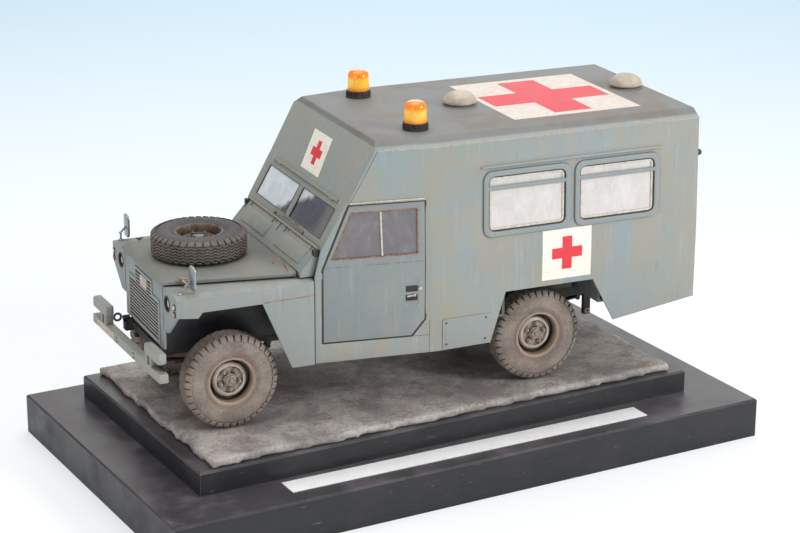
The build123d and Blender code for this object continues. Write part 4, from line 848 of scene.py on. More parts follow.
lampGlass = makePane("lampGlass", (0.30, 0.31, 0.31), (0.55, 0.55, 0.53), 0.85, 0.10, 0.8)
orangeGlass = makePane("orangeGlass", (0.62, 0.20, 0.07), (0.72, 0.30, 0.12), 0.95, 0.25, 0.4)
redGlass = makePane("redGlass", (0.42, 0.035, 0.03), (0.50, 0.06, 0.05), 0.95, 0.25, 0.4)
whiteGlass = makePane("whiteGlass", (0.78, 0.76, 0.72), (0.85, 0.83, 0.80), 0.95, 0.25, 0.4)
amberLens = makeAmber()
ventCoat = makeVent()

finishes = {
    "black_board": blackBoard, "ground": groundCoat, "body_green": bodyPaint, "roof_green": roofPaint,
    "door_green": doorPaint, "bonnet_green": bonnetPaint, "wing_green": wingPaint, "screen_green": screenPaint,
    "grille_green": grillePaint, "bumper_grey": bumperPaint, "window_frame": framePaint, "frosted_pane": frostedPane,
    "clear_pane": doorPane, "tyre_black": tyreCoat, "rim_brown": rimCoat, "chassis_black": blackCoat,
    "arch_black": archCoat, "engine_grey": engineCoat, "interior_green": innerCoat, "seat_black": seatCoat,
    "lamp_chrome": lampCoat, "mirror_black": mirrorCoat, "beacon_base_black": blackCoat, "beacon_amber": amberLens,
    "vent_beige": ventCoat, "rust_pipe": pipeCoat, "tail_lamp_red": redGlass,
}
for name, item in nodes.items():
    item.data.materials.clear()
    item.data.materials.append(finishes[slotOf[name]])
nodes["windscreen_glass"].data.materials[0] = screenPane

# Wheels, modelled once about their own middle with the outer face toward +y
print("wheels")
tyreLook = {
    "carcass": [(8.3, 3.2), (8.5, 3.72), (8.8, 3.86), (9.0, 3.84), (9.1, 3.68), (9.25, 3.86), (9.6, 3.92), (9.72, 3.78),
                (9.9, 3.96), (10.7, 4.12), (11.8, 4.27), (12.9, 4.26), (13.9, 4.06), (14.7, 3.74), (15.4, 3.2),
                (15.75, 2.5), (15.85, 0)],
    "lug": [(2.75, 15.3), (3.75, 14.75), (4.12, 14.5), (4.02, 14.9), (3.78, 15.5), (3.35, 16.15), (2.9, 16.48),
            (2.75, 16.5)],
    "steps": 120, "lugs": 38, "lugHalf": 0.98, "lugLean": 0.12,
    "ribs": (-2.1, -1.05, 0.0, 1.05, 2.1), "ribWave": 0.3, "ribHalf": 0.26, "ribFoot": 15.5, "ribTop": 16.45,
}
rimLook = {
    "bore": [(0, -0.6), (1.15, -0.6), (1.15, -2.8), (5.2, -2.8), (5.2, -0.5), (6.3, -0.7), (6.9, -1.4), (7.2, -3.0)],
    "shell": [(8.5, -3.3), (8.6, -2.9), (7.9, -2.2), (7.8, 0.0), (8.0, 2.6), (8.5, 3.2), (8.45, 3.6), (8.1, 3.7),
              (7.75, 3.5), (7.5, 2.9), (7.4, 1.1), (7.3, -0.7), (6.7, -0.8), (6.4, 0.1), (6.15, 0.75), (5.75, 1.2),
              (5.2, 1.45), (4.8, 1.42), (4.65, 1.1), (4.5, 0.7), (2.6, 0.7), (2.4, 1.1), (2.3, 1.5)],
    "hub": [(2.2, 1.75), (1.85, 1.8), (1.7, 2.4), (1.45, 2.55), (0.9, 2.45), (0.8, 2.75), (0, 2.75)],
    "spareHub": [(2.05, 1.3), (2.05, 0.2)], "steps": 72, "nuts": 5, "nutCircle": 3.5,
}
origin = Vector((0, 0, 0))


def makeTyreMesh():
    half = tyreLook["carcass"]
    outline = half + [(radius, -height) for radius, height in reversed(half[:-1])]
    inner = [(8.3, -3.2), (8.2, 0.0), (8.3, 3.2)]
    carcass = addTurned("carcass", outline + inner, tyreLook["steps"], origin, (0, 1, 0), 50)
    # one shoulder lug on each side, wrapping onto the sidewall
    lugs = []
    for side in (1, -1):
        face = [Vector((-tyreLook["lugHalf"], side * y, z)) * mm for y, z in tyreLook["lug"]]
        across = Vector((2 * tyreLook["lugHalf"], side * tyreLook["lugLean"], 0)) * mm
        lugs.append(addPlate("lug", face, across, 0.12))
    lug = joined("lug", lugs)
    around(lug, tyreLook["lugs"], origin, (0, 1, 0))
    # zigzag ribs between them
    pitch = math.tau * tyreLook["ribTop"] / tyreLook["lugs"] / 2 * 1.02
    wave, thick = tyreLook["ribWave"], tyreLook["ribHalf"]
    ribs = []
    for middle in tyreLook["ribs"]:
        outline = [(-pitch, -wave - thick), (0, wave - thick), (pitch, -wave - thick), (pitch, -wave + thick),
                   (0, wave + thick), (-pitch, -wave + thick)]
        face = [Vector((x, middle + y, tyreLook["ribFoot"])) * mm for x, y in outline]
        ribs.append(addPlate("rib", face, Vector((0, 0, (tyreLook["ribTop"] - tyreLook["ribFoot"]) * mm)), 0.07))
    rib = joined("rib", ribs)
    around(rib, tyreLook["lugs"], origin, (0, 1, 0))
    return joined("tyreMaster", [carcass, lug, rib])


def makeRimMesh(spare):
    if spare:
        outline = rimLook["shell"] + rimLook["spareHub"] + [(6.4, -0.3), (6.9, -1.4), (7.2, -3.0), (8.5, -3.3)]
    else:
        outline = rimLook["bore"] + rimLook["shell"] + rimLook["hub"]
    shell = addTurned("rimShell", outline, rimLook["steps"], origin, (0, 1, 0), 40)
    reach = rimLook["nutCircle"] * mm
    boss = addTurned("boss", [(0, 0.5), (0.86, 0.5), (0.86, 1.25), (0.72, 1.4), (0, 1.4)], 16, Vector((reach, 0, 0)))
    nut = addRod("nut", Vector((reach, 1.2 * mm, 0)), Vector((reach, 2.1 * mm, 0)), 0.62, 6, 0.06)
    stud = addRod("stud", Vector((reach, 2.0 * mm, 0)), Vector((reach, 2.5 * mm, 0)), 0.28, 10, 0.04)
    nuts = joined("nuts", [boss, nut, stud])
    around(nuts, rimLook["nuts"], origin, (0, 1, 0))
    parts = [shell, nuts]
    if not spare:
        # the square end of the axle and the bolts round it
        parts.append(addRod("square", Vector((0, 2.6 * mm, 0)), Vector((0, 3.1 * mm, 0)), 0.62, 4, 0.06))
        flange = addRod("flange", Vector((1.45, 2.3, 0)) * mm, Vector((1.45, 2.75, 0)) * mm, 0.22, 8, 0.04)
        around(flange, 6, origin, (0, 1, 0))
        parts.append(flange)
    return joined("rimMaster", parts)


tyreMaster = makeTyreMesh()
rimMaster = makeRimMesh(False)
spareRimMaster = makeRimMesh(True)
halfTurn = Matrix.Rotation(math.pi, 4, "Z")
for sideName, side in (("left", 1), ("right", -1)):
    for end, x, spinBy in (("front", truck["wheelbase"], 20), ("rear", 0, 47)):
        place = Matrix.Translation(at(x, side * truck["wheelMid"], truck["tyreRadius"]))
        turn = Matrix.Rotation(math.radians(spinBy), 4, "Y")
        if side < 0:
            turn = halfTurn @ turn
        name = end + "_" + sideName
        redress("tyre_" + name, copied(tyreMaster, "detailedTyre_" + name, place @ turn))
        redress("rim_" + name, copied(rimMaster, "detailedRim_" + name, place @ turn))
flat = Matrix.Translation(at(truck["wheelbase"], 0, 57.45)) @ Matrix.Rotation(math.radians(90), 4, "X")
redress("spare_tyre", copied(tyreMaster, "detailedTyre_spare", flat), spareCoat)
redress("spare_rim", copied(spareRimMaster, "detailedRim_spare", flat), spareRimCoat)
for master in (tyreMaster, rimMaster, spareRimMaster):
    bpy.data.objects.remove(master)

# Bodywork with rounded edges, one piece for each CAD node
print("bodywork")
skin = {"eaves": 92.8, "slopeFoot": 75.4, "lean": 0.5594, "rear": -56}


# The shell's borders are one skin, so their edges stay sharp
def sideJoint(p):
    slopeX = 74.1 - (p.z - skin["slopeFoot"]) * skin["lean"]
    onSlope = abs(p.x - slopeX) < 2.2 and p.z > skin["slopeFoot"] - 0.2
    return abs(p.x - skin["rear"]) < 0.1 or onSlope or p.z > skin["eaves"] - 0.1


def roofJoint(p):
    slopeX = 73.8 - (p.z - skin["slopeFoot"]) * skin["lean"]
    behindSlope = p.x < slopeX and p.z < 95.0 and abs(p.y) > 20
    return abs(p.z - skin["eaves"]) < 0.1 or abs(p.z - skin["slopeFoot"]) < 0.1 or behindSlope


def rearJoint(p):
    return abs(p.x - skin["rear"]) < 0.1 or p.z > skin["eaves"] - 0.2


rounding = {
    "body_side_left": (0.16, sideJoint), "body_side_right": (0.16, sideJoint), "roof_shell": (0.45, roofJoint),
    "rear_frame": (0.20, rearJoint), "front_door_left": (0.14, None), "front_door_right": (0.14, None),
    "rear_door_left": (0.18, None), "rear_door_right": (0.18, None), "bonnet": (0.35, None),
    "front_wings": (0.22, None), "windscreen_frame": (0.14, None),
    "radiator_panel": (0.06, None), "side_window_frames": (0.26, None), "cab_seats": (0.5, None),
    "dashboard": (0.12, None), "chassis_frame": (0.15, None), "fuel_tank": (0.35, None), "inner_arches": (0.25, None),
    "engine_block": (0.6, None), "driveline": (0.3, None), "body_floor": (0.12, None),
}
for node, (width, skip) in rounding.items():
    if node != "chassis_frame":
        redress(node, softened(node, width, 2, skip))
# the frame's tow eye stands in line with the truck
towEye = {"middle": (141.0, -14.2, 28.6), "radius": 1.25, "wire": 0.42, "above": 27.6, "ahead": 136.0}
chassis = softened("chassis_frame", rounding["chassis_frame"][0])
editing(chassis)
low = at(towEye["ahead"], 0, towEye["above"])
pick(chassis, lambda face, middle: middle.z > low.z and middle.x > low.x)
bpy.ops.mesh.delete(type="FACE")
bpy.ops.object.mode_set(mode="OBJECT")
ring = []
for k in range(11):
    turn = k * math.tau / 10
    ring.append((towEye["radius"] + towEye["wire"] * math.cos(turn), towEye["wire"] * math.sin(turn)))
towRing = addTurned("towRing", ring, 28, at(*towEye["middle"]), (0, 1, 0), 60)
lug = addBar("towLug", at(136.6, -14.2, 28.2), at(139.2, -14.2, 28.2), 1.0, 1.4, (0, 0, 1), 0.2)
redress("chassis_frame", joined("soft_chassis_frame", [chassis, towRing, lug]))
for node, width in (("knuckle_left", 0.12), ("knuckle_right", 0.12), ("track_rod", 0.08), ("front_axle", 0.1),
                    ("rear_axle", 0.1), ("exhaust", 0.1)):
    redress(node, softened(node, width, 1))

# Ground: the slab broken up at its edges and crumbled on top
print("ground")
slab = {"shorter": 0.968, "voxel": 1.15,
        "crumbles": (("lumps", 7.0, 3, 0.55, 0.60), ("grain", 1.6, 3, 0.38, 0.56))}


def crumbled(item, label, size, depth, rise, level):
    # a modifier that presses clouds of noise into the surface, applied at once
    clouds = bpy.data.textures.new(label, "CLOUDS")
    clouds.noise_scale = size * mm
    clouds.noise_depth = depth
    press = item.modifiers.new(label, "DISPLACE")
    press.texture = clouds
    press.texture_coords = "LOCAL"
    press.strength = rise * mm
    press.mid_level = level
    bpy.ops.object.modifier_apply(modifier=label)


ground = softened("groundwork", 0)
editing(ground)
bpy.ops.transform.resize(value=(slab["shorter"], 1, 1), center_override=(0, 0, 0))
bpy.ops.object.mode_set(mode="OBJECT")
only(ground)
remesh = ground.modifiers.new("evenMesh", "REMESH")
remesh.mode = "VOXEL"
remesh.voxel_size = slab["voxel"] * mm
bpy.ops.object.modifier_apply(modifier=remesh.name)
for row in slab["crumbles"]:
    crumbled(ground, *row)
bpy.ops.object.shade_smooth_by_angle(angle=math.radians(60))
redress("groundwork", ground)

# Roof fittings
print("roof fittings")
beacon = {
    "x": 45.6, "y": 24.7, "roof": 95.6, "ribs": 16,
    "base": [(0, 0), (4.4, 0), (4.45, 0.5), (4.2, 0.7), (4.2, 1.9), (4.35, 2.1), (4.3, 2.5), (0, 2.5)],
    "lens": [(0, 2.5), (3.95, 2.5), (4.0, 2.9), (3.85, 6.8), (3.75, 7.9), (3.35, 8.9), (2.5, 9.6), (1.3, 9.85),
             (0, 9.9)],
    "bulb": [(0, 2.6), (1.5, 2.6), (1.6, 4.4), (1.1, 5.4), (1.2, 6.6), (0.6, 7.3), (0, 7.4)],
}
vent = {
    "places": (17.2, -50.0), "putty": (1.8, 2, 0.35, 0.65),
    "dome": [(0, 0), (4.9, 0), (4.9, 0.75), (5.6, 0.8), (6.1, 1.0), (6.15, 1.35), (5.9, 2.1), (5.3, 3.0), (4.4, 3.8),
             (3.2, 4.4), (1.7, 4.8), (0, 4.9)],
    "pad": [(0, 0.02), (5.7, 0.02), (5.6, 0.2), (5.3, 0.3), (0, 0.3)],
}
up = (0, 0, 1)
bases, lenses, bulbs = [], [], []
for side in (1, -1):
    x, y = beacon["x"], side * beacon["y"]
    foot = at(x, y, beacon["roof"])
    bases.append(addTurned("base", beacon["base"], 48, foot, up, 30))
    rib = addBlock("rib", (x + 4.1, y - 0.25, 96.4), (x + 4.45, y + 0.25, 97.4), 0.08)
    around(rib, beacon["ribs"], foot, up)
    bases.append(rib)
    lenses.append(addTurned("lens", beacon["lens"], 48, foot, up, 50))
    bulbs.append(addTurned("bulb", beacon["bulb"], 24, foot, up, 50))
redress("beacon_bases", joined("ribbedBeaconBases", bases), blackCoat)
redress("beacon_lenses", joined("amberDomes", lenses), amberLens)
fit("beaconReflectors", bulbs, "beacon_amber", orangeGlass)
vents, pads = [], []
for x in vent["places"]:
    foot = at(x, 0, beacon["roof"])
    vents.append(addTurned("vent", vent["dome"], 56, foot, up, 60))
    pads.append(addTurned("pad", vent["pad"], 48, foot, up))
ventPair = joined("puttyVents", vents)
only(ventPair)
crumbled(ventPair, "putty", *vent["putty"])
redress("roof_vents", ventPair)
fit("ventPads", pads, "roof_green", panelPaint)

# Doors: window surround and divider, shut line, drip rail, lock and handle, modelled on the left
print("door fittings")
door = {
    "window": [(81.0, 56.6), (74.1, 72.3), (51.5, 72.3), (51.5, 56.6)], "divider": 63.9, "out": (0.16, 1, 0.03),
    "outline": [(84.3, 27.1), (84.3, 53.2), (75.1, 75.0), (48.7, 75.0), (48.7, 33.0), (53.4, 27.1)],
    "shut": 0.62, "shutAtSill": 0.34, "well": [(55.6, 45.3), (51.6, 45.3), (51.6, 39.9), (55.6, 39.9)],
    "rivets": [(57.0, 45.2), (57.2, 41.6), (55.5, 38.5), (51.4, 38.4)], "sill": 27.1,
    "rail": ((74.6, 75.55), (48.9, 75.55)), "lever": ((52.3, 42.0), (55.3, 41.7)), "pivot": (52.7, 42.0),
    "lock": (50.7, 44.3), "catch": ((55.5, 40.0), (51.8, 40.0)),
}
out = door["out"]
trim = []
for start, end in sidesOf(door["window"]):
    trim.append(addBar("trim", onSide(*start, 0.02), onSide(*end, 0.02), 0.36, 0.3, out, 0.08))
bothSides("windowSurround", joined("surround", trim), "door_green", brownSeam, "front_door_")
x = door["divider"]
post = addBar("post", onSide(x - 0.2, 56.7, -0.15), onSide(x + 0.25, 72.2, -0.15), 0.62, 0.5, out, 0.15)
bothSides("windowPost", post, "door_green", offWhite, "front_door_")
shut = []
for start, end in sidesOf(door["outline"]):
    wide = door["shutAtSill"] if start[1] == end[1] == door["sill"] else door["shut"]
    shut.append(addBar("shut", onSide(*start, -0.3), onSide(*end, -0.3), wide, 0.66, out, 0.04))
bothSides("doorSeal", joined("shut", shut), "body_green", blackCoat)
# the drip rail is pale off-white, which also serves as its painted highlight
rail = addBar("rail", *[onSide(*end, 0.1) for end in door["rail"]], 0.62, 0.75, out, 0.15)
bothSides("doorDripRail", rail, "body_green", offWhite)
# a dark plate in the handle's recess, as painted shade
well = addPlate("well", [onSide(x, z, -0.52) for x, z in door["well"]], Vector((0, 0.1 * mm, 0)), 0)
bothSides("handleWellShade", well, "door_green", archCoat, "front_door_")
levelOut = (0.16, 1, 0)
bits = [addBar("leverBody", *[onSide(*end, 0.1) for end in door["lever"]], 0.7, 0.5, levelOut, 0.15),
        addRod("leverPivot", onSide(*door["pivot"], -0.3), onSide(*door["pivot"], 0.45), 0.55, 16, 0.1),
        addRod("lockUpper", onSide(*door["lock"], -0.2), onSide(*door["lock"], 0.35), 0.66, 18, 0.12)]
for place in door["rivets"]:
    bits.append(addRod("rivet", onSide(*place, -0.2), onSide(*place, 0.2), 0.28, 12, 0.08))
bothSides("doorHandle", joined("bits", bits), "door_green", lampCoat, "front_door_")
catch = addBar("catch", *[onSide(*end) for end in door["catch"]], 0.4, 0.3, levelOut, 0.08)
bothSides("doorCatch", catch, "door_green", bronzeCoat, "front_door_")

# The side hatch with its screws
print("hatch")
hatch = {"outline": [(42.6, 32.0), (24.6, 32.0), (24.7, 21.6), (42.6, 21.3)],
         "screws": [(41.2, 22.9), (26.4, 23.0), (41.3, 30.6), (26.2, 30.7)]}
plate = addPlate("plate", [onSide(x, z) for x, z in hatch["outline"]], Vector((0, 0.28 * mm, 0)), 0.09)
bothSides("sideHatch", plate, "body_green", framePaint)
screws = [addRod("screw", onSide(x, z, 0.1), onSide(x, z, 0.5), 0.34, 12, 0.08) for x, z in hatch["screws"]]
bothSides("hatchScrews", joined("screws", screws), "body_green", blackCoat)

# Wing fronts and tops: lamps, mirrors, catches and the bonnet's small parts
print("nose")
nose = {
    "panel": 135.6, "lampY": 25.4, "lampZ": 45.4, "markerY": 33.2,
    "bowl": [(0, -3.0), (1.6, -2.9), (2.6, -1.6), (2.9, 0.0), (2.75, 0.0), (2.4, -1.5), (1.4, -2.6), (0, -2.7)],
    "bezel": [(2.35, -0.3), (2.35, 1.0), (2.5, 1.15), (2.75, 1.1), (2.8, 0.9), (2.6, 0.8), (2.6, -0.3), (2.35, -0.3)],
    "glass": [(0, 0.1), (2.4, -0.4), (2.45, -0.1), (1.6, 0.45), (0.8, 0.68), (0, 0.75)],
    "marker": [(0, 0.0), (0.75, 0.0), (0.75, 0.3), (0.6, 0.5), (0.3, 0.62), (0, 0.65)],
    "markerRing": [(0.7, -0.1), (1.1, -0.1), (1.1, 0.25), (0.95, 0.4), (0.72, 0.32), (0.7, -0.1)],
}
ahead = (1, 0, 0)
glass, bezels, bowls = [], [], []
for side in (1, -1):
    middle = at(nose["panel"] - 0.9, side * nose["lampY"], nose["lampZ"])
    bowls.append(addTurned("bowl", nose["bowl"], 40, middle, ahead, 60))
    bezels.append(addTurned("bezel", nose["bezel"], 40, middle, ahead, 30))
    glass.append(addTurned("glass", nose["glass"], 40, middle, ahead, 60))
redress("headlamps", joined("headlampBowls", bowls), lampCoat)
fit("headlampBezels", bezels, "lamp_chrome", blackCoat)
fit("headlampGlass", glass, "lamp_chrome", lampGlass)
for z, coat, label in ((46.6, whiteGlass, "sideLamps"), (44.1, orangeGlass, "turnLamps")):
    lamps, rings = [], []
    for side in (1, -1):
        middle = at(nose["panel"], side * nose["markerY"], z)
        lamps.append(addTurned("lamp", nose["marker"], 24, middle, ahead, 50))
        rings.append(addTurned("ring", nose["markerRing"], 24, middle, ahead, 30))
    fit(label, lamps, "lamp_chrome", coat)
    fit(label + "Rings", rings, "lamp_chrome", blackCoat)

mirrors = {
    "near": 128.5, "far": 130.7, "y": 32.2, "z": 55.5, "corner": 1.55, "halfWide": 0.9, "halfHigh": 2.6, "root": 133.4,
    "foot": [(0, 0), (0.9, 0), (0.85, 0.35), (0.45, 0.6), (0, 0.62)],
    "elbow": [(0, -0.5), (0.42, -0.35), (0.55, 0), (0.42, 0.35), (0, 0.5)],
}


def roundCorners(steps, corner, halfAcross, halfUp):
    # places across and up round a rectangle with round corners, seen from its middle
    for quarter, (across, rise) in enumerate(((1, 1), (-1, 1), (-1, -1), (1, -1))):
        for k in range(steps + 1):
            turn = math.pi / 2 * (quarter + k / steps)
            yield across * halfAcross + corner * math.cos(turn), rise * halfUp + corner * math.sin(turn)


stalks, faces = [], []
for side in (1, -1):
    y = side * mirrors["y"]
    x = mirrors["near"] if side > 0 else mirrors["far"]
    outline = [at(x, y + across, mirrors["z"] + rise) for across, rise in
               roundCorners(5, mirrors["corner"], mirrors["halfWide"], mirrors["halfHigh"])]
    stalks.append(addPlate("plate", outline, Vector((0.75 * mm, 0, 0)), 0.25))
    middle = sum(outline, Vector()) / len(outline)
    back = Vector((-0.15 * mm, 0, 0))
    face = [middle + (p - middle) * 0.86 + back for p in outline]
    faces.append(addPlate("face", face, Vector((0.3 * mm, 0, 0)), 0.08))
    stalks.append(addRod("stalkLow", at(mirrors["root"], y, 50.2), at(x + 2.7, y, 53.2), 0.36, 12))
    stalks.append(addRod("stalkHigh", at(x + 2.8, y, 53.1), at(x + 0.4, y, 55.4), 0.34, 12))
    stalks.append(addTurned("foot", mirrors["foot"], 16, at(mirrors["root"], y, 50.35), up))
    stalks.append(addTurned("elbow", mirrors["elbow"], 14, at(x + 2.75, y, 53.15), up))
redress("wing_mirrors", joined("mirrorPlates", stalks), mirrorCoat)
fit("mirrorGlass", faces, "mirror_black", lampCoat)

bonnetBits = {"catches": ((1, 129.2), (-1, 128.6)), "crease": [(91.9, 13.3), (93.0, 21.0), (93.9, 28.0), (94.6, 30.3)],
              "creaseTops": (53.05, 53.05, 52.8), "staple": ((94.6, 16.4, 52.95), (96.4, 20.6, 52.95)),
              "stapleEnd": ((95.6, 18.3, 52.75), (97.3, 17.7, 52.85)), "wingSeam": ((105.2, 44.5), (86.7, 44.8))}
catches = []
for side, x in bonnetBits["catches"]:
    catches.append(addBar("strap", at(x - 1.4, side * 26.4, 50.7), at(x + 0.8, side * 24.7, 52.7), 1.0, 0.4,
                          (0, side * 0.6, 1), 0.1))
    catches.append(addBar("hook", at(x + 0.6, side * 24.9, 52.5), at(x + 0.5, side * 22.9, 53.3), 0.9, 0.5,
                          (0.3, side * 0.5, 1), 0.12))
    catches.append(addRod("pin", at(x - 0.9, side * 24.4, 52.9), at(x + 1.7, side * 24.4, 52.9), 0.34, 12))
    catches.append(addBar("foot", at(x - 1.8, side * 27.3, 50.4), at(x + 0.6, side * 27.0, 50.5), 1.6, 0.4, up, 0.1))
fit("bonnetCatches", catches, "wing_green", bronzeCoat)
staples = [addRod(name, *[at(*end) for end in bonnetBits[name]], radius, 10)
           for name, radius in (("staple", 0.32), ("stapleEnd", 0.28))]
fit("bonnetStaple", staples, "bonnet_green", bronzeCoat, "bonnet")
seams, crease = [], bonnetBits["crease"]
for start, end, z in zip(crease, crease[1:], bonnetBits["creaseTops"]):
    seams.append(addBar("seam", at(*start, 53.0), at(*end, z), 0.35, 0.2, up, 0.05))
fit("bonnetSeam", seams, "bonnet_green", brownSeam, "bonnet")
seams = []
for side in (1, -1):
    ends = [at(x, side * 35.0, z) for x, z in bonnetBits["wingSeam"]]
    seams.append(addBar("seam", *ends, 0.3, 0.16, (0, side, 0), 0.04))
fit("wingSeams", seams, "wing_green", brownSeam)

# Grille: wires along the slats, threads and a dark sheet behind them as painted shade, and the blank badge
print("grille")
grille = {"middle": 0.9, "half": 15.6, "upper": 8.2, "low": 29.4, "shoulder": 43.2, "top": 47.8, "slats": 14,
          "threads": 22, "wireX": 135.75, "threadX": 135.55, "shadeSheet": ((133.3, -15.2, 29.0), (133.9, 17.0, 48.2)),
          "badge": ((135.75, -1.9, 43.7), (136.3, 4.9, 47.6)), "badgeRail": ((135.75, -2.4, 45.2), (136.2, 5.4, 46.0))}
# a near-black sheet behind the grille, painted shade for its dark inside
shadeSheet = addBlock("paintedShadeSheet", *grille["shadeSheet"], 0.1)
dress(shadeSheet, "model", "grille_green", (), archCoat)
wires, threads = [], []
for k in range(1, grille["slats"] + 1):
    z = grille["low"] + (grille["top"] - grille["low"]) * k / (grille["slats"] + 1)
    reach = grille["upper"] if z > grille["shoulder"] else grille["half"]
    ends = [at(grille["wireX"], grille["middle"] + side * reach, z) for side in (-1, 1)]
    wires.append(addBar("wire", *ends, 0.42, 0.34, ahead, 0.1))
for k in range(1, grille["threads"]):
    y = grille["middle"] + grille["half"] * (2 * k / grille["threads"] - 1)
    high = grille["top"] if abs(y - grille["middle"]) < grille["upper"] else grille["shoulder"]
    ends = [at(grille["threadX"], y, z) for z in (grille["low"], high)]
    threads.append(addRod("thread", *ends, 0.11, 6, 0))
fit("grilleWires", wires, "grille_green", bumperPaint)
fit("grilleThreads", threads, "grille_green", engineCoat)
badge = [addBlock("badge", *grille["badge"], 0.14), addBlock("rail", *grille["badgeRail"], 0.1)]
fit("blankBadge", badge, "grille_green", plateCoat)

# Bumper: its bar, the riders on their posts, and the blank number plate
riders = {"yaw": math.radians(2.0), "x": 139.8, "front": 3.2, "half": 34.0, "middle": 22.5, "high": 3.2,
          "top": (27.0, 31.0), "span": (19.4, 33.2), "posts": ((20.2, 21.9), (24.2, 25.6)), "postZ": 25.5,
          "shade": (21.8, 31.5), "plate": (-28.5, -11.0), "plateZ": 22.6, "bolts": ((-8.5, 8.5), (21.6, 23.3))}


def onBumper(across, z, lift=0.0):
    # a place on the bumper's front face, which stands two degrees crooked
    yaw, out = riders["yaw"], riders["front"] + lift
    return at(riders["x"] + out * math.cos(yaw) - across * math.sin(yaw),
              out * math.sin(yaw) + across * math.cos(yaw), z)


def bumperBar(name, ends, z, lift, high, deep, rounding):
    return addBar(name, onBumper(ends[0], z, lift), onBumper(ends[1], z, lift), high, deep, ahead, rounding)


pieces = [bumperBar("bar", (-riders["half"], riders["half"]), riders["middle"], -1.6, riders["high"], 3.2, 0.3)]
shades = []
for side in (1, -1):
    low, high = riders["top"]
    cap = bumperBar("cap", [side * end for end in riders["span"]], (low + high) / 2, -1.5, high - low, 3.3, 0)
    roundEdges(cap, 1.1, 4, 30)
    pieces.append(cap)
    for span in riders["posts"]:
        pieces.append(bumperBar("post", [side * end for end in span], riders["postZ"], -1.5, 4.4, 2.9, 0.2))
    shades.append(bumperBar("shade", [side * end for end in riders["shade"]], 25.6, -2.9, 3.0, 0.3, 0.05))
redress("front_bumper", joined("bumperWithRiders", pieces), bumperPaint)
fit("riderShades", shades, "bumper_grey", blackCoat)
number = bumperBar("numberPlate", riders["plate"], riders["plateZ"], 0.05, 2.5, 0.3, 0.08)
dress(number, "model", "bumper_grey", (), plateCoat)
bolts = []
for across in riders["bolts"][0]:
    for z in riders["bolts"][1]:
        bolts.append(addRod("bolt", onBumper(across, z, -0.1), onBumper(across, z, 0.2), 0.34, 12, 0.08))
fit("bumperBolts", bolts, "bumper_grey", blackCoat)

# Windscreen: wipers, vent flap levers, lip and ledge, gaskets and brackets
print("screen")
screenOut, scuttleOut = (0.862, 0, 0.506), (0.744, 0, 0.668)
screen = {
    # y of the hub and the blade's middle, and the blade's half length
    "wipers": ((17.2, 6.2, 4.6), (-8.6, 2.4, -4.6)),
    # y and lower end of each vent flap's lever
    "levers": ((-31.6, 0.60), (-28.0, 0.76), (-6.6, 0.74), (-4.4, 0.84), (-0.6, 0.62), (5.0, 0.72), (7.2, 0.82),
               (28.4, 0.76)),
    "pane": [(1.9, 0.147), (30.0, 0.147), (30.0, 0.80), (1.9, 0.80)], "bracketY": 32.4,
}


def onScreen(y, share, lift=0.0):
    # a place on the screen's slope, share 0 at its foot and 1 at its top
    return at(84.4 - 8.8 * share + lift * screenOut[0], y, 60.4 + 15.0 * share + lift * screenOut[2])


def onScuttle(y, share, lift=0.0):
    # the same on the scuttle below it
    return at(91.4 - 7.0 * share + lift * scuttleOut[0], y, 52.6 + 7.8 * share + lift * scuttleOut[2])


def screenBar(name, start, end, wide, deep, rounding):
    # start and end as y, share and lift
    return addBar(name, onScreen(*start), onScreen(*end), wide, deep, screenOut, rounding)


def scuttleBar(name, start, end, wide, deep, rounding):
    return addBar(name, onScuttle(*start), onScuttle(*end), wide, deep, scuttleOut, rounding)


wipers = []
for hub, tip, run in screen["wipers"]:
    wipers.append(addRod("hub", onScreen(hub, 0.06, -0.3), onScreen(hub, 0.06, 0.75), 0.55, 14, 0.1))
    wipers.append(screenBar("arm", (hub, 0.07, 0.65), (tip, 0.11, 0.5), 0.2, 0.25, 0.05))
    wipers.append(screenBar("blade", (tip - run, 0.115, 0.4), (tip + run, 0.12, 0.4), 0.2, 0.35, 0.05))
fit("wipers", wipers, "screen_green", bronzeCoat)
levers = []
for y, low in screen["levers"]:
    levers.append(scuttleBar("lever", (y, low, 0.1), (y + 0.3, 0.93, 0.12), 0.2, 0.22, 0.04))
fit("flapLevers", levers, "screen_green", blackCoat)
lip = scuttleBar("lip", (-33.0, 0.97, 0.2), (33.0, 0.97, 0.2), 0.75, 0.6, 0.14)
fit("scuttleLip", [lip], "screen_green", screenPaint)
# a thin dark brown line just under the lip, painted as its shadow
line = scuttleBar("line", (-32.6, 0.905, 0.02), (32.6, 0.905, 0.02), 0.24, 0.14, 0.03)
fit("scuttleLipShadow", [line], "screen_green", brownSeam)
ledge = [screenBar("ledge", (-29.4, 0.965, 0.25), (29.4, 0.965, 0.25), 1.1, 0.7, 0.2)]
gaskets, brackets = [], []
for side in (1, -1):
    ledge.append(screenBar("stop", (side * 26.0, 0.93, 0.2), (side * 22.4, 0.93, 0.2), 0.7, 0.6, 0.15))
    for (y0, s0), (y1, s1) in sidesOf(screen["pane"]):
        # the gaskets are black rubber; the wider ones up the panes' sides also stand as painted shadow
        wide = 0.5 if y0 == y1 else 0.2
        gaskets.append(screenBar("gasket", (side * y0, s0, -0.1), (side * y1, s1, -0.1), wide, 0.3, 0.06))
    y = side * screen["bracketY"]
    brackets.append(addBlock("bracket", (84.6, y - 1.2, 57.6), (86.6, y + 1.2, 60.0), 0.5))
fit("screenLedge", ledge, "screen_green", screenPaint)
fit("screenGaskets", gaskets, "screen_green", blackCoat)
fit("screenBrackets", brackets, "screen_green", blackCoat)

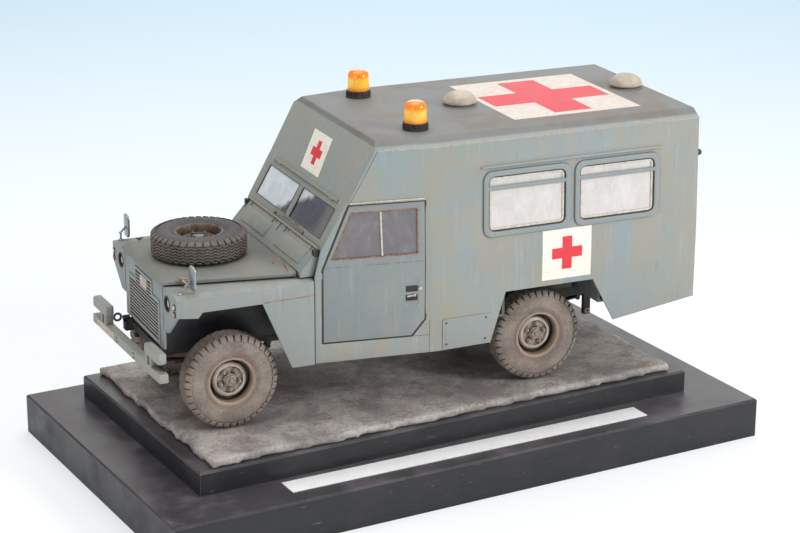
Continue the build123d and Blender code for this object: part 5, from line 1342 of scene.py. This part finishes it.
# Side windows: dark rubber round each pane, a pale inner frame and its sliding bar, modelled on the left
print("side windows")
window = {"length": 33.4, "low": 59.2, "height": 23.2, "frame": 1.9, "fronts": (27.5, -7.6), "slideZ": 75.9,
          "slot": ((-3.6, 61.6), (-3.6, 73.6))}
# each moulding: how far it stands out past the opening, its corner, width, place out and depth
mouldings = {"rubber": (0.15, 2.25, 0.55, -0.35, 0.6), "inner": (-0.45, 1.6, 0.75, -0.42, 0.45)}


def addRing(name, x0, x1, z0, z1, corner, wide, lift, deep):
    # a closed moulding: an outline inset, its middle taken out, and the rest drawn outward
    middleX, middleZ = (x0 + x1) / 2, (z0 + z1) / 2
    outline = [onSide(middleX + across, middleZ + rise, lift) for across, rise in
               roundCorners(4, corner, (x1 - x0) / 2 - corner, (z1 - z0) / 2 - corner)]
    item = drawn(name, outline, True)
    bpy.ops.mesh.inset(thickness=wide * mm, use_even_offset=True)
    bpy.ops.mesh.delete(type="FACE")
    bpy.ops.mesh.select_all(action="SELECT")
    bpy.ops.mesh.extrude_region_move(TRANSFORM_OT_translate={"value": (0, deep * mm, 0)})
    closeUp()
    roundEdges(item, min(wide, deep) * 0.3, 2, 40)
    return item


rings = {"rubber": [], "inner": []}
slides = []
for front in window["fronts"]:
    x0, x1 = front - window["length"] + window["frame"], front - window["frame"]
    z0, z1 = window["low"] + window["frame"], window["low"] + window["height"] - window["frame"]
    for kind, (past, *form) in mouldings.items():
        rings[kind].append(addRing(kind, x0 - past, x1 + past, z0 - past, z1 + past, *form))
    z = window["slideZ"]
    slides.append(addBar("slide", onSide(x0 + 0.9, z, -0.15), onSide(x1 - 0.9, z, -0.15), 0.3, 0.2, (0, 1, 0), 0.08))
slot = addBar("slot", *[onSide(*end, -0.2) for end in window["slot"]], 0.6, 0.3, (0, 1, 0), 0.05)
bothSides("windowRubbers", joined("rubbers", rings["rubber"]), "window_frame", blackCoat)
bothSides("paneFrames", joined("inners", rings["inner"]), "window_frame", offWhite)
bothSides("paneSlides", joined("slides", slides), "window_frame", brownSeam)
bothSides("paneSlot", slot, "window_frame", brownSeam)

# Rear end: lamps, door locks, pressings and window rubbers, seam strip
print("rear")
rear = {
    "x": -57.0, "face": -56.9, "lampY": 36.45, "lamps": (38.4, 42.4), "keepers": (34.0, 80.5),
    "lamp": [(0, 0.0), (1.45, 0.0), (1.45, 0.5), (1.1, 0.8), (0.6, 0.95), (0, 1.0)],
    "lampRing": [(1.4, 0), (1.75, 0), (1.75, 0.45), (1.6, 0.62), (1.4, 0.5), (1.4, 0)],
    "marker": [(0, 0), (1.15, 0), (1.15, 0.9), (0.85, 1.5), (0, 1.6)],
    "pressings": ((34.5, 54.5), (77.6, 82.0)), "pane": [(6.7, 58.2), (24.3, 58.2), (24.3, 75.8), (6.7, 75.8)],
}
behind = (-1, 0, 0)
lamps, rings = [], []
for side in (1, -1):
    for z in rear["lamps"]:
        middle = at(rear["x"] + 0.1, side * rear["lampY"], z)
        lamps.append(addTurned("lamp", rear["lamp"], 28, middle, behind, 50))
        rings.append(addTurned("ring", rear["lampRing"], 28, middle, behind, 30))
redress("tail_lamps", joined("tailLampLenses", lamps), redGlass)
fit("tailLampRings", rings, "tail_lamp_red", blackCoat)
for sideName, side in (("left", 1), ("right", -1)):
    body = "rear_door_" + sideName
    y = side * 2.6
    y0, y1 = sorted((y, side * 4.4))
    parts = [addRod("boss", at(rear["face"], y, 52.0), at(-57.7, y, 52.0), 0.9, 16, 0.12),
             addBar("lever", at(-57.75, y, 52.3), at(-57.75, side * 6.0, 51.2), 0.6, 0.45, behind, 0.12)]
    for z in rear["keepers"]:
        parts.append(addBlock("keeper", (-57.5, y0, z - 0.7), (rear["face"], y1, z + 0.7), 0.15))
    fit("rearLock_" + sideName, parts, "door_green", blackCoat, body)
    y0, y1 = sorted((side * 6.4, side * 25.4))
    ribs = [addBlock("rib", (-57.3, y0, z0), (rear["face"], y1, z1), 0.25) for z0, z1 in rear["pressings"]]
    fit("rearPressing_" + sideName, ribs, "door_green", panelPaint, body)
    rubber = []
    for (y0, z0), (y1, z1) in sidesOf(rear["pane"]):
        rubber.append(addBar("rubber", at(-57.05, side * y0, z0), at(-57.05, side * y1, z1), 0.75, 0.4, behind, 0.12))
    fit("rearRubber_" + sideName, rubber, "door_green", blackCoat, body)
seamStrip = addBlock("rearSeamStrip", (-57.35, -0.55, 31.2), (rear["face"], 0.35, 83.6), 0.12)
dress(seamStrip, "rear_door_right", "door_green", (), panelPaint)
clamp = addTurned("clamp", rear["marker"], 20, at(rear["x"], 39.6, 80.0), behind, 40)
fit("rearMarker", [clamp], "body_green", blackCoat)

# Underneath: spring shackle bolts
print("underneath")
shackle = {"x": -28.4, "y": 15.0, "z": (24.3, 16.9),
           "bolt": [(0.35, 0), (1.15, 0), (1.15, 0.35), (0.95, 0.5), (0.35, 0.45), (0.35, 0)]}
bolts = []
for side in (1, -1):
    for z in shackle["z"]:
        middle = at(shackle["x"], side * shackle["y"], z)
        bolts.append(addTurned("ringBolt", shackle["bolt"], 20, middle, (0, side, 0), 30))
fit("shackleBolts", bolts, "chassis_black", bronzeCoat)

# Plinth: the blank title strip
print("plinth")
strip = {"ends": ((107.6, 60.8), (-32.7, 48.9)), "width": 8.7, "middle": -11.24, "thick": 0.3}
ends = [at(x, y, strip["middle"]) for x, y in strip["ends"]]
card = addBar("titleStrip", *ends, strip["width"], strip["thick"], up, 0.06)
dress(card, "model", "black_board", (), stripCoat)

# Stage, lamps and camera
print("stage")
stage = {"floor": 3.0, "farBlue": (0.60, 0.78, 0.90), "nearWhite": (0.95, 0.97, 0.98), "glow": 0.55,
         "away": (-0.408, -0.913)}
calm()
bpy.ops.mesh.primitive_plane_add(size=2 * stage["floor"], location=(0, 0, cadBox[0][2] - 0.00005))
floor = bpy.context.object
floor.name = "floor"
shop = PaintShop("paleFloor")
px, py, pz = shop.axes(shop.objectPlace())
depth = px * stage["away"][0] + py * stage["away"][1]
colour = shop.mix(depth.step(-0.05, 1.0), stage["nearWhite"], stage["farBlue"])
seen = shop.node("ShaderNodeLightPath", output=0)
diffuse = shop.node("ShaderNodeBsdfDiffuse", None, {"Color": colour})
glow = shop.node("ShaderNodeEmission", None, {"Color": colour, "Strength": 1.0})
both = shop.node("ShaderNodeMixShader", None, {0: seen * stage["glow"], 1: diffuse, 2: glow})
shop.node("ShaderNodeOutputMaterial", None, {"Surface": both})
floor.data.materials.append(shop.material)

air = {"colour": (0.90, 0.89, 0.88, 1), "strength": 0.45}
world = bpy.data.worlds.new("studioAir")
bpy.context.scene.world = world
world.use_nodes = True
world.node_tree.nodes["Background"].inputs["Color"].default_value = air["colour"]
world.node_tree.nodes["Background"].inputs["Strength"].default_value = air["strength"]

softLamps = [
    {"name": "keySoft", "place": (-0.80, 0.85, 0.60), "size": 0.35, "power": 9.5},
    {"name": "frontSoft", "place": (0.85, 0.55, 0.45), "size": 0.6, "power": 1.9},
    {"name": "topSoft", "place": (0.0, -0.1, 0.95), "size": 0.9, "power": 6.0},
    {"name": "backSoft", "place": (-0.4, -0.8, 0.5), "size": 0.7, "power": 2.0},
]
lampAim = Vector((0, 0, 0.06))
for lamp in softLamps:
    data = bpy.data.lights.new(lamp["name"], "AREA")
    data.size = lamp["size"]
    data.energy = lamp["power"]
    light = bpy.data.objects.new(lamp["name"], data)
    light.location = lamp["place"]
    light.rotation_euler = (lampAim - light.location).to_track_quat("-Z", "Y").to_euler()
    bpy.context.scene.collection.objects.link(light)

view = {
    "place": (349.213, 689.561, 289.348), "forward": (-0.38712772, -0.86616092, -0.31606548),
    "right": (-0.91349373, 0.40683342, 0.00397237), "up": (-0.12514529, -0.29026164, 0.94872906),
    "lens": 100.15, "shift": (0.00326, 0.00168),
}
lens = bpy.data.cameras.new("eye")
lens.lens = view["lens"]
lens.sensor_width = 36
lens.shift_x, lens.shift_y = view["shift"]
lens.clip_start = 0.01
camera = bpy.data.objects.new("eye", lens)
turn = Matrix((view["right"], view["up"], tuple(-f for f in view["forward"]))).transposed()
camera.matrix_world = Matrix.Translation(at(*view["place"])) @ turn.to_4x4()
bpy.context.scene.collection.objects.link(camera)
bpy.context.scene.camera = camera
bpy.context.scene.view_settings.view_transform = "Standard"
